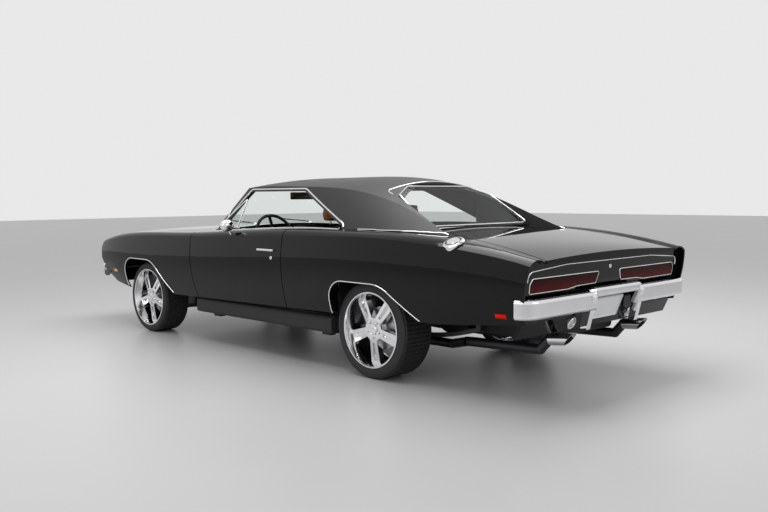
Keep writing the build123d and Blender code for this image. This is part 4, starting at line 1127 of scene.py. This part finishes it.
class CAR_OT_door_trim(bpy.types.Operator):
    """Door cards with armrest, winder and strip, and the outside lock and push button"""

    bl_idname = "car.door_trim"
    bl_label = "Door trim"

    def execute(self, context):
        card = bevelled("door_card_left", (-0.360, 0.786, 0.420), (0.740, 0.7995, 0.900), 0.005, 3)
        pair(dressed(panelled(card, (0, -1, 0), 0.045, -0.005), "trim_black", 30), "door_{}", "dark_plastic")
        rest = bevelled("door_armrest_left", (-0.300, 0.722, 0.610), (0.120, 0.7865, 0.668), 0.016, 4)
        pair(dressed(rest, "trim_black", 40), "door_{}", "dark_plastic")
        strip = rod_along("door_strip_left", [(-0.330, 0.7865, 0.800), (0.705, 0.7865, 0.800)], 0.004)
        bright_pair(strip, "door_{}")
        pivot, grip, inwards = (0.270, 0.788, 0.600), (0.165, 0.766, 0.560), (0, -1, 0)
        boss = turned("boss", [(0, 0.020), (0.012, 0.018), (0.014, 0.0)], pivot, inwards, 24)
        arm = rod_along("arm", [(0.270, 0.778, 0.600), (0.235, 0.770, 0.585), grip], 0.007, rings=3)
        outline = [(0, 0.0), (0, 0.011), (0.006, 0.013), (0.022, 0.012), (0.026, 0.0)]
        knob = turned("knob", outline, grip, inwards, 20)
        crank = assembled("window_winder_left", (boss, "chrome"), (arm, "chrome"), (knob, "trim_black"))
        pair(crank, "door_{}", "bright_chrome")
        spot = struck(["door_left"], (-0.278, 1.4, 0.781), (0, -1, 0))
        outline = [
            (-0.003, 0.014), (0.003, 0.014), (0.006, 0.011), (0.006, 0.006), (0.004, 0.005), (0.004, 0.0),
        ]
        bright_pair(turned("door_lock_left", outline, spot, (0, 1, 0), 24), "door_{}")
        low, high = (Vector(corner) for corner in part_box("door_handle_left"))
        outline = [(-0.012, 0.010), (0.002, 0.010), (0.004, 0.008), (0.005, 0.0)]
        place = (low.x + 0.025, high.y, (low.z + high.z) / 2)
        bright_pair(turned("door_button_left", outline, place, (0, 1, 0), 24), "door_{}")
        return {"FINISHED"}


# Dials on the dash: place across, height and radius
DIALS = (
    (0.445, 0.845, 0.056), (0.305, 0.845, 0.056), (0.545, 0.835, 0.032),
    (0.205, 0.855, 0.030), (0.205, 0.795, 0.030),
)
# Pedals: span across and in height
PEDALS = (
    ("brake_pedal", 0.375, 0.455, 0.405, 0.465),
    ("clutch_pedal", 0.520, 0.600, 0.405, 0.465),
    ("throttle_pedal", 0.235, 0.290, 0.345, 0.520),
)


class CAR_OT_cabin(bpy.types.Operator):
    """Dials, dash panels, console and shifter, pedals, mats, sun visors and the inside mirror"""

    bl_idname = "car.cabin"
    bl_label = "Cabin"

    def execute(self, context):
        self.dials()
        self.console()
        self.overhead()
        for name, low, high in (
            ("mat_front_left", (0.26, 0.20, 0.3103), (0.80, 0.70, 0.3180)),
            ("mat_rear_left", (-0.60, 0.20, 0.3103), (-0.36, 0.66, 0.3180)),
        ):
            mat = bevelled(name, low, high, 0.0035, 2)
            pair(dressed(panelled(mat, (0, 0, 1), 0.018, -0.002), "carpet", 30), "body", "dark_plastic")
        self.trunk()
        return {"FINISHED"}

    def trunk(self):
        """Mat on the trunk floor, and pressings that close it behind the wheel houses."""
        mat = bevelled("trunk_mat", (-2.380, -0.540, 0.5403), (-1.300, 0.540, 0.5480), 0.0035, 2)
        fitted(dressed(panelled(mat, (0, 0, 1), 0.030, -0.002), "carpet", 30), "body", "dark_plastic")
        centre, _, radius, _ = wheel_place("rear_left")
        back = centre.x - radius - 0.030
        sides = []
        for x_low, x_high, z_low, z_high in (
            (-2.470, back, 0.528, 0.540),
            (back - 0.008, back, 0.528, 0.712),
            (back - 0.008, -1.651, 0.700, 0.712),
        ):
            side = bevelled("side", (x_low, 0.574, z_low), (x_high, 0.800, z_high), 0.003, 2)
            for vertex in side.data.vertices:
                if vertex.co.y > 0.7:
                    skin = struck(["quarter_panel_left"], (vertex.co.x, 0.60, vertex.co.z), (0, 1, 0))
                    if skin:
                        vertex.co.y += skin.y - 0.803
            sides.append(dressed(side, "under", 30))
        wall = bevelled("side", (back, 0.574, 0.515), (-1.651, 0.586, 0.704), 0.003, 2)
        sides.append(dressed(wall, "under", 30))
        pair(joined(sides, "trunk_side_left"), "body", "dark_plastic")

    def dials(self):
        """Round dials before the driver, with needles, and the panels beside them."""
        for k, (y, z, size) in enumerate(DIALS):
            face = struck(["dashboard"], (0.55, y, z), (1, 0, 0))
            outline = [(-0.004, 0), (0.010, 0), (0.013, -0.004), (0.010, -0.007), (0.002, -0.008)]
            ring = turned("ring", [(along, size + out) for along, out in outline], face, (-1, 0, 0), 36)
            outline = [
                (0.0015, size - 0.007), (0.0022, size - 0.009), (0.0022, 0.004), (0.006, 0.003), (0.006, 0.0),
            ]
            dial = turned("dial", outline, face, (-1, 0, 0), 36)
            marks = []
            for n in range(11):
                turn = radians(220 - 26 * n)
                way = Vector((0, -cos(turn), sin(turn)))
                start = face + Vector((-0.0028, 0, 0)) + way * (size - 0.020)
                marks.append((rod_along("mark", [start, start + way * 0.008], 0.0008, rings=1), "dial"))
            reach = (size - 0.018) * 0.7
            line = [face + Vector((-0.0052, 0.004, -0.004)), face + Vector((-0.0052, -reach, reach))]
            needle = rod_along("needle", line, 0.0009, rings=1)
            parts = (ring, "chrome"), (dial, "trim_black"), (needle, "dial"), *marks
            group = assembled(f"dash_dial_{k}", *parts)
            fitted(group, "body", "bright_chrome")
        for name, y_low, y_high, z_low, z_high in (
            ("glove_lid", -0.640, -0.230, 0.775, 0.888),
            ("middle_panel", -0.150, 0.150, 0.770, 0.890),
        ):
            face = struck(["dashboard"], (0.55, (y_low + y_high) / 2, z_low), (1, 0, 0))
            lid = bevelled(name, (face.x - 0.016, y_low, z_low), (face.x + 0.002, y_high, z_high), 0.004, 3)
            panelled(lid, (-1, 0, 0), 0.010, -0.002)
            fitted(dressed(lid, "trim_black", 30), "body", "dark_plastic")
            for y in ((-0.095, 0.095) if name == "middle_panel" else (-0.435,)):
                outline = [(0, 0.013), (0.014, 0.011), (0.017, 0.008), (0.017, 0.0)]
                place = (face.x - 0.015, y, z_low + 0.045)
                bright(turned(f"{name}_knob", outline, place, (-1, 0, 0), 24))

    def console(self):
        """Console on the tunnel, shifter with ball, and three pedals."""
        box = bevelled("console", (-0.160, -0.098, 0.5803), (0.520, 0.098, 0.632), 0.012, 4)
        fitted(dressed(panelled(box, (0, 0, 1), 0.016, -0.004), "trim_black", 35), "body", "dark_plastic")
        outline = [(0, 0.052), (0.004, 0.052), (0.012, 0.040), (0.020, 0.034), (0.034, 0.020), (0.048, 0.010)]
        boot = turned("shifter_boot", outline, (0.240, 0, 0.628), (0, 0, 1), 32)
        fitted(dressed(boot, "trim_black", 60), "body", "dark_plastic")
        line = [(0.240, 0, 0.640), (0.236, 0.004, 0.700), (0.205, 0.010, 0.765)]
        bright(rod_along("shifter", line, 0.006, rings=3))
        outline = [
            (-0.006, 0.008), (0.002, 0.012), (0.016, 0.023), (0.030, 0.021), (0.040, 0.010), (0.042, 0.0),
        ]
        ball = turned("shifter_ball", outline, (0.209, 0.009, 0.757), (-0.4, 0.1, 0.9), 28)
        fitted(dressed(ball, "trim_black", 60), "body", "dark_plastic")
        for name, y_low, y_high, z_low, z_high in PEDALS:
            plate = bevelled("plate", (0.715, y_low, z_low), (0.728, y_high, z_high), 0.004, 3)
            panelled(plate, (-1, 0, 0), 0.008, -0.002)
            y = (y_low + y_high) / 2
            arm = rod_along("arm", [(0.727, y, z_high - 0.02), (0.780, y, 0.600), (0.800, y, 0.705)], 0.008)
            fitted(assembled(name, (plate, "rubber"), (arm, "iron")), "body", "dark_plastic")

    def overhead(self):
        """Sun visors under the roof and the inside mirror on its stem."""
        top = struck(["roof_and_pillars"], (0.340, 0.30, 1.15), (0, 0, 1))
        low, high = (0.270, 0.130, top.z - 0.034), (0.410, 0.470, top.z - 0.018)
        visor = bevelled("sun_visor_left", low, high, 0.006, 3)
        pair(dressed(visor, "trim_black", 40), "body", "dark_plastic")
        line = [(0.395, 0.460, top.z - 0.026), (0.395, 0.464, top.z + 0.006)]
        bright_pair(rod_along("visor_pin_left", line, 0.005), "body")
        roof = struck(["roof_and_pillars"], (ROOF_FRONT, 0, 1.15), (0, 0, 1))
        line = [(ROOF_FRONT, 0, roof.z + 0.003), (0.425, 0, roof.z - 0.030), (0.482, 0, 1.250)]
        stem = rod_along("stem", line, 0.006, rings=3)
        shell = bevelled("shell", (0.470, -0.160, 1.208), (0.492, 0.160, 1.272), 0.010, 4)
        # Mirror glass with a painted reflection: a dull warm grey rather than a reflecting surface
        glass = bevelled("glass", (0.4685, -0.155, 1.213), (0.4715, 0.155, 1.267), 0.0012, 2)
        parts = (shell, "trim_black", 50), (stem, "chrome"), (glass, "mirror", 30)
        fitted(assembled("inside_mirror", *parts), "body", "dark_plastic")


class CAR_OT_filler_cap(bpy.types.Operator):
    """Bright flanged cap over the fuel filler"""

    bl_idname = "car.filler_cap"
    bl_label = "Filler cap"

    def execute(self, context):
        top, way = Vector((-2.030, 0.903, 0.962)), Vector((0, 18, 40)).normalized()
        outline = [
            (-0.014, 0.0625), (-0.010, 0.068), (-0.006, 0.068), (-0.003, 0.064), (-0.001, 0.058),
            (0.003, 0.055), (0.003, 0.040), (0.0085, 0.037), (0.0095, 0.020), (0.010, 0.0),
        ]
        cap = turned("filler_cap_ring", outline, top, way, 48)
        # Painted shade: a dull black ring laid where the gap between flange and cap lies in shade
        outline = [(0.0032, 0.0535), (0.0036, 0.0475), (0.0036, 0.0435), (0.0032, 0.0415)]
        painted_shade_ring = turned("painted_shade_ring", outline, top, way, 48)
        low, high = (-2.098, top.y - 0.010, top.z - 0.001), (-2.076, top.y + 0.010, top.z + 0.006)
        tab = bevelled("tab", low, high, 0.003, 2)
        parts = (cap, "chrome"), (tab, "chrome"), (painted_shade_ring, "dull")
        fitted(assembled("filler_cap_ring", *parts), "body", "bright_chrome")
        return {"FINISHED"}


class CAR_OT_nose(bpy.types.Operator):
    """Grille surround and bars, covered headlamp seams, parking lamps and wipers"""

    bl_idname = "car.nose"
    bl_label = "Nose"

    def execute(self, context):
        frame_line = dense(rounded(GRILLE_FRAME, True), 0.03, True)
        bright_strip("grille_surround", self.on_grille(frame_line), 0.006, closed=True)
        for side, hand in HANDS:
            cover = dense(rounded([(side * u, v, r) for u, v, r in LAMP_COVER], True), 0.03, True)
            bright_strip(f"lamp_cover_{hand}", self.on_grille(cover), 0.003, closed=True)
        spine = dense([Vector((0, 0.588)), Vector((0, 0.780))], 0.02)
        bright_strip("grille_spine", self.on_grille(spine), 0.009)
        for side, hand in HANDS:
            for k in range(5):
                z = 0.633 + 0.028 * k
                bar = dense([Vector((side * 0.028, z)), Vector((side * 0.440, z))], 0.06)
                bright_strip(f"grille_bar_{hand}_{k}", self.on_grille(bar), 0.0022)
        lids = [struck(["hood", "front_header"], (2.455, y, 0.80), (0, 0, 1)) for y in (0.0, 0.3, 0.6)]
        top = min(spot.z for spot in lids if spot) - 0.012
        shield = bevelled("grille_shield", (2.452, -0.700, 0.700), (2.460, 0.700, top), 0.002, 2)
        fitted(dressed(panelled(shield, (1, 0, 0), 0.02, -0.002), "dull", 30), "body", "dark_grille")
        face = struck(["front_valance"], (3.2, 0.560, 0.478), (-1, 0, 0))
        ahead = Vector((70, 0, -130)).normalized()
        outline = [(-0.006, 0.046), (0.006, 0.046), (0.010, 0.041), (0.008, 0.034), (0.002, 0.032)]
        bright_pair(turned("parking_lamp_ring_left", outline, face, ahead, 36), "body")
        outline = [(0.002, 0.0325), (0.008, 0.026), (0.012, 0.012), (0.013, 0.0)]
        lens = turned("parking_lamp_lens_left", outline, face, ahead, 36)
        pair(dressed(lens, "amber"), "body", "amber_lens")
        self.wipers()
        return {"FINISHED"}

    def on_grille(self, points):
        """Front-view points (y, z) laid on the grille's front, across its slots."""
        spots = []
        for y, z in points:
            for (x_high, z_high), (x_low, z_low) in zip(GRILLE_FACE, GRILLE_FACE[1:]):
                if z_low <= z * 1000 <= z_high:
                    share = (z_high - z * 1000) / (z_high - z_low)
                    spots.append(Vector((mixed(x_high, x_low, share) / 1000 + 0.001, y, z)))
                    break
        return spots

    def wipers(self):
        """Two arms with blades resting on the foot of the windscreen."""
        for k, (pivot, tip) in enumerate(((0.300, 0.640), (-0.330, 0.020))):
            foot = struck(["cowl_and_firewall"], (0.815, pivot, 2.0), (0, 0, -1))
            line = [pivot + (tip - pivot) * n / 8 for n in range(9)]
            starts = [(2.0, y, 1.000 + 0.004 * n) for n, y in enumerate(line)]
            rest = [struck(["windscreen"], start, (-1, 0, 0)) for start in starts]
            if foot is None or any(spot is None for spot in rest):
                raise RuntimeError("the wipers found no glass to lie on")
            off = Vector((0.008, 0, 0.004))
            blade = rod_along("blade", [spot + off for spot in rest], 0.005)
            route = [foot + Vector((0, 0, 0.010)), rest[1] + off * 2.2, rest[4] + off * 2.2, rest[4] + off]
            arm = rod_along("arm", route, 0.004)
            outline = [(-0.004, 0.018), (0.010, 0.016), (0.016, 0.010), (0.017, 0.0)]
            boss = turned("boss", outline, foot, (0, 0, 1), 20)
            parts = (arm, "chrome"), (blade, "dull"), (boss, "chrome")
            fitted(assembled(f"wiper_{k}", *parts), "body", "bright_chrome")


class CAR_OT_engine_bay(bpy.types.Operator):
    """Air cleaner, valve covers, front pulleys and fan, radiator and brake servo"""

    bl_idname = "car.engine_bay"
    bl_label = "Engine bay"

    def execute(self, context):
        high = Vector(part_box("engine_and_gearbox")[1])
        outline = [
            (0.0, 0.060), (0.004, 0.085), (0.018, 0.165), (0.020, 0.178), (0.026, 0.180), (0.056, 0.180),
            (0.062, 0.174), (0.068, 0.150), (0.072, 0.020), (0.084, 0.014), (0.085, 0.0),
        ]
        bright(turned("air_cleaner", outline, (1.36, 0, high.z), (0, 0, 1), 56))
        ends = (1.060, 0.128, high.z - 0.002), (1.640, 0.250, high.z + 0.042)
        cover = bevelled("valve_cover_left", *ends, 0.014, 4)
        pair(dressed(panelled(cover, (0, 0, 1), 0.016, 0.004), "chrome", 40), "body", "bright_chrome")
        hub = [
            (-0.004, 0.030), (0.010, 0.030), (0.010, 0.085), (0.018, 0.085), (0.022, 0.078), (0.026, 0.085),
            (0.034, 0.085), (0.034, 0.020), (0.060, 0.020), (0.060, 0.0),
        ]
        for name, y, z, size in (
            ("crank_pulley", 0.0, 0.430, 1.0),
            ("pump_pulley", 0.0, 0.640, 0.8),
            ("dynamo_pulley", 0.180, 0.700, 0.5),
        ):
            pulley = turned(name, [(along, out * size) for along, out in hub], (high.x, y, z), (1, 0, 0), 36)
            fitted(dressed(pulley, "iron"), "body", "dark_iron")
        blades = []
        for k in range(6):
            ends = (high.x + 0.050, -0.035, 0.030), (high.x + 0.053, 0.035, 0.185)
            blade = bevelled("blade", *ends, 0.001, 1)
            pitch = Matrix.Rotation(radians(24), 4, "Z") @ Matrix.Translation((-high.x - 0.0515, 0, 0))
            blade.data.transform(pitch)
            turn = Matrix.Rotation(k * pi / 3, 4, "X")
            blade.data.transform(Matrix.Translation((high.x + 0.0515, 0, 0.640)) @ turn)
            blades.append(dressed(blade, "steel"))
        fitted(joined(blades, "cooling_fan"), "body", "bare_steel")
        core = bevelled("core", (2.205, -0.340, 0.455), (2.255, 0.340, 0.770), 0.004, 2)
        panelled(core, (-1, 0, 0), 0.012, -0.006)
        tank = bevelled("tank", (2.195, -0.350, 0.768), (2.265, 0.350, 0.815), 0.014, 4)
        outline = [(0, 0.026), (0.010, 0.026), (0.012, 0.032), (0.022, 0.032), (0.025, 0.026), (0.026, 0.0)]
        neck = turned("neck", outline, (2.230, 0.0, 0.812), (0, 0, 1), 28)
        foot = bevelled("foot", (2.210, -0.400, 0.4465), (2.250, 0.400, 0.458), 0.002, 2)
        parts = (core, "radiator", 30), (tank, "radiator", 40), (neck, "chrome"), (foot, "iron")
        fitted(assembled("radiator", *parts), "body", "dark_iron")
        wall = struck(["cowl_and_firewall"], (1.30, 0.470, 0.660), (-1, 0, 0))
        servo = [
            (-0.003, 0.080), (0.010, 0.115), (0.040, 0.125), (0.075, 0.120), (0.095, 0.085), (0.102, 0.040),
            (0.110, 0.030), (0.200, 0.030), (0.204, 0.0),
        ]
        booster = turned("brake_servo", servo, wall, (1, 0, 0), 40)
        fitted(dressed(booster, "iron"), "body", "dark_iron")
        return {"FINISHED"}


def area_lamp(name, place, target, size, power):
    """Soft square lamp aimed at a point."""
    bpy.ops.object.light_add(type="AREA", location=place)
    lamp = bpy.context.object
    lamp.name = name
    lamp.data.shape = "RECTANGLE"
    lamp.data.size, lamp.data.size_y = size
    lamp.data.energy = power
    lamp.rotation_euler = (Vector(target) - Vector(place)).to_track_quat("-Z", "Y").to_euler()


class CAR_OT_stage(bpy.types.Operator):
    """Pale floor, soft lamps and the camera"""

    bl_idname = "car.stage"
    bl_label = "Studio"

    def execute(self, context):
        settings = studio()
        bpy.ops.object.select_all(action="DESELECT")
        bpy.ops.mesh.primitive_plane_add(size=80.0, location=(0, 0, 0))
        floor = context.object
        floor.name = "studio_floor"
        mat, tree, bsdf = shader("studio_floor")
        cloud = object_noise(tree, 0.6, 4.0)
        tint(
            tree, cloud.outputs["Fac"], shade(settings.floor, 0.95), shade(settings.floor, 1.05),
            bsdf.inputs["Base Color"],
        )
        bsdf.inputs["Roughness"].default_value = 0.35
        floor.data.materials.append(mat)
        area_lamp("overhead_softbox", (-0.5, 0.0, 5.0), (0, 0, 0), (7.0, 3.0), settings.key_power)
        area_lamp("left_softbox", (-3.0, 7.5, 3.2), (0, 0, 0.6), (6.0, 2.0), settings.fill_power)
        area_lamp("rear_softbox", (-8.0, -1.0, 3.2), (-2, 0, 0.6), (4.0, 2.0), settings.fill_power)
        world = bpy.data.worlds.new("studio_world")
        context.scene.world = world
        world.use_nodes = True
        tree = world.node_tree
        background = tree.nodes["Background"]
        background.inputs["Color"].default_value = (0.88, 0.88, 0.88, 1.0)
        paths = tree.nodes.new("ShaderNodeLightPath")
        seen = paths.outputs["Is Camera Ray"]
        for name in ("Is Glossy Ray", "Is Transmission Ray"):
            either = tree.nodes.new("ShaderNodeMath")
            either.operation = "MAXIMUM"
            tree.links.new(seen, either.inputs[0])
            tree.links.new(paths.outputs[name], either.inputs[1])
            seen = either.outputs["Value"]
        level = tree.nodes.new("ShaderNodeMapRange")
        level.inputs["To Min"].default_value = 0.6
        level.inputs["To Max"].default_value = 0.92
        tree.links.new(seen, level.inputs["Value"])
        tree.links.new(level.outputs["Result"], background.inputs["Strength"])
        context.scene.view_settings.view_transform = "Standard"
        self.camera(context)
        return {"FINISHED"}

    def camera(self, context):
        """Camera with its place, heading, roll and lens."""
        ahead = Vector(
            (cos(CAMERA_PITCH) * cos(CAMERA_YAW), cos(CAMERA_PITCH) * sin(CAMERA_YAW), sin(CAMERA_PITCH)),
        )
        right = Vector((sin(CAMERA_YAW), -cos(CAMERA_YAW), 0.0))
        above = right.cross(ahead)
        rolled_right = right * cos(CAMERA_ROLL) + above * sin(CAMERA_ROLL)
        rolled_up = above * cos(CAMERA_ROLL) - right * sin(CAMERA_ROLL)
        turn = Matrix((rolled_right, rolled_up, -ahead)).transposed()
        bpy.ops.object.camera_add(location=CAMERA_PLACE, rotation=turn.to_euler())
        camera = context.object
        camera.data.lens = CAMERA_LENS
        camera.data.sensor_width = CAMERA_SENSOR
        camera.data.clip_end = 200.0
        context.scene.camera = camera


STEPS = [
    CAR_OT_finishes,
    CAR_OT_arch_mouldings,
    CAR_OT_window_trim,
    CAR_OT_tail_trim,
    CAR_OT_exhaust_tips,
    CAR_OT_filler_cap,
    CAR_OT_tyres,
    CAR_OT_wheel_fittings,
    CAR_OT_front_seats,
    CAR_OT_rear_seat,
    CAR_OT_door_trim,
    CAR_OT_cabin,
    CAR_OT_nose,
    CAR_OT_engine_bay,
    CAR_OT_stage,
]


class CAR_PT_panel(bpy.types.Panel):
    """The car's dressing steps and settings"""

    bl_idname = "CAR_PT_panel"
    bl_label = "Fastback car"
    bl_space_type = "VIEW_3D"
    bl_region_type = "UI"
    bl_category = "Car"

    def draw(self, context):
        for group in (colours(), studio()):
            for key in group.bl_rna.properties.keys():
                if key not in {"rna_type", "name"}:
                    self.layout.prop(group, key)
        for step in STEPS:
            self.layout.operator(step.bl_idname)


CLASSES = [CarColours, CarStudio, *STEPS, CAR_PT_panel]


def register():
    for cls in CLASSES:
        bpy.utils.register_class(cls)
    bpy.types.Scene.car_colours = PointerProperty(type=CarColours)
    bpy.types.Scene.car_studio = PointerProperty(type=CarStudio)


def unregister():
    del bpy.types.Scene.car_studio
    del bpy.types.Scene.car_colours
    for cls in reversed(CLASSES):
        bpy.utils.unregister_class(cls)


def main():
    register()
    for step in STEPS:
        getattr(bpy.ops.car, step.bl_idname.split(".")[1])()


if __name__ == "__main__":
    main()
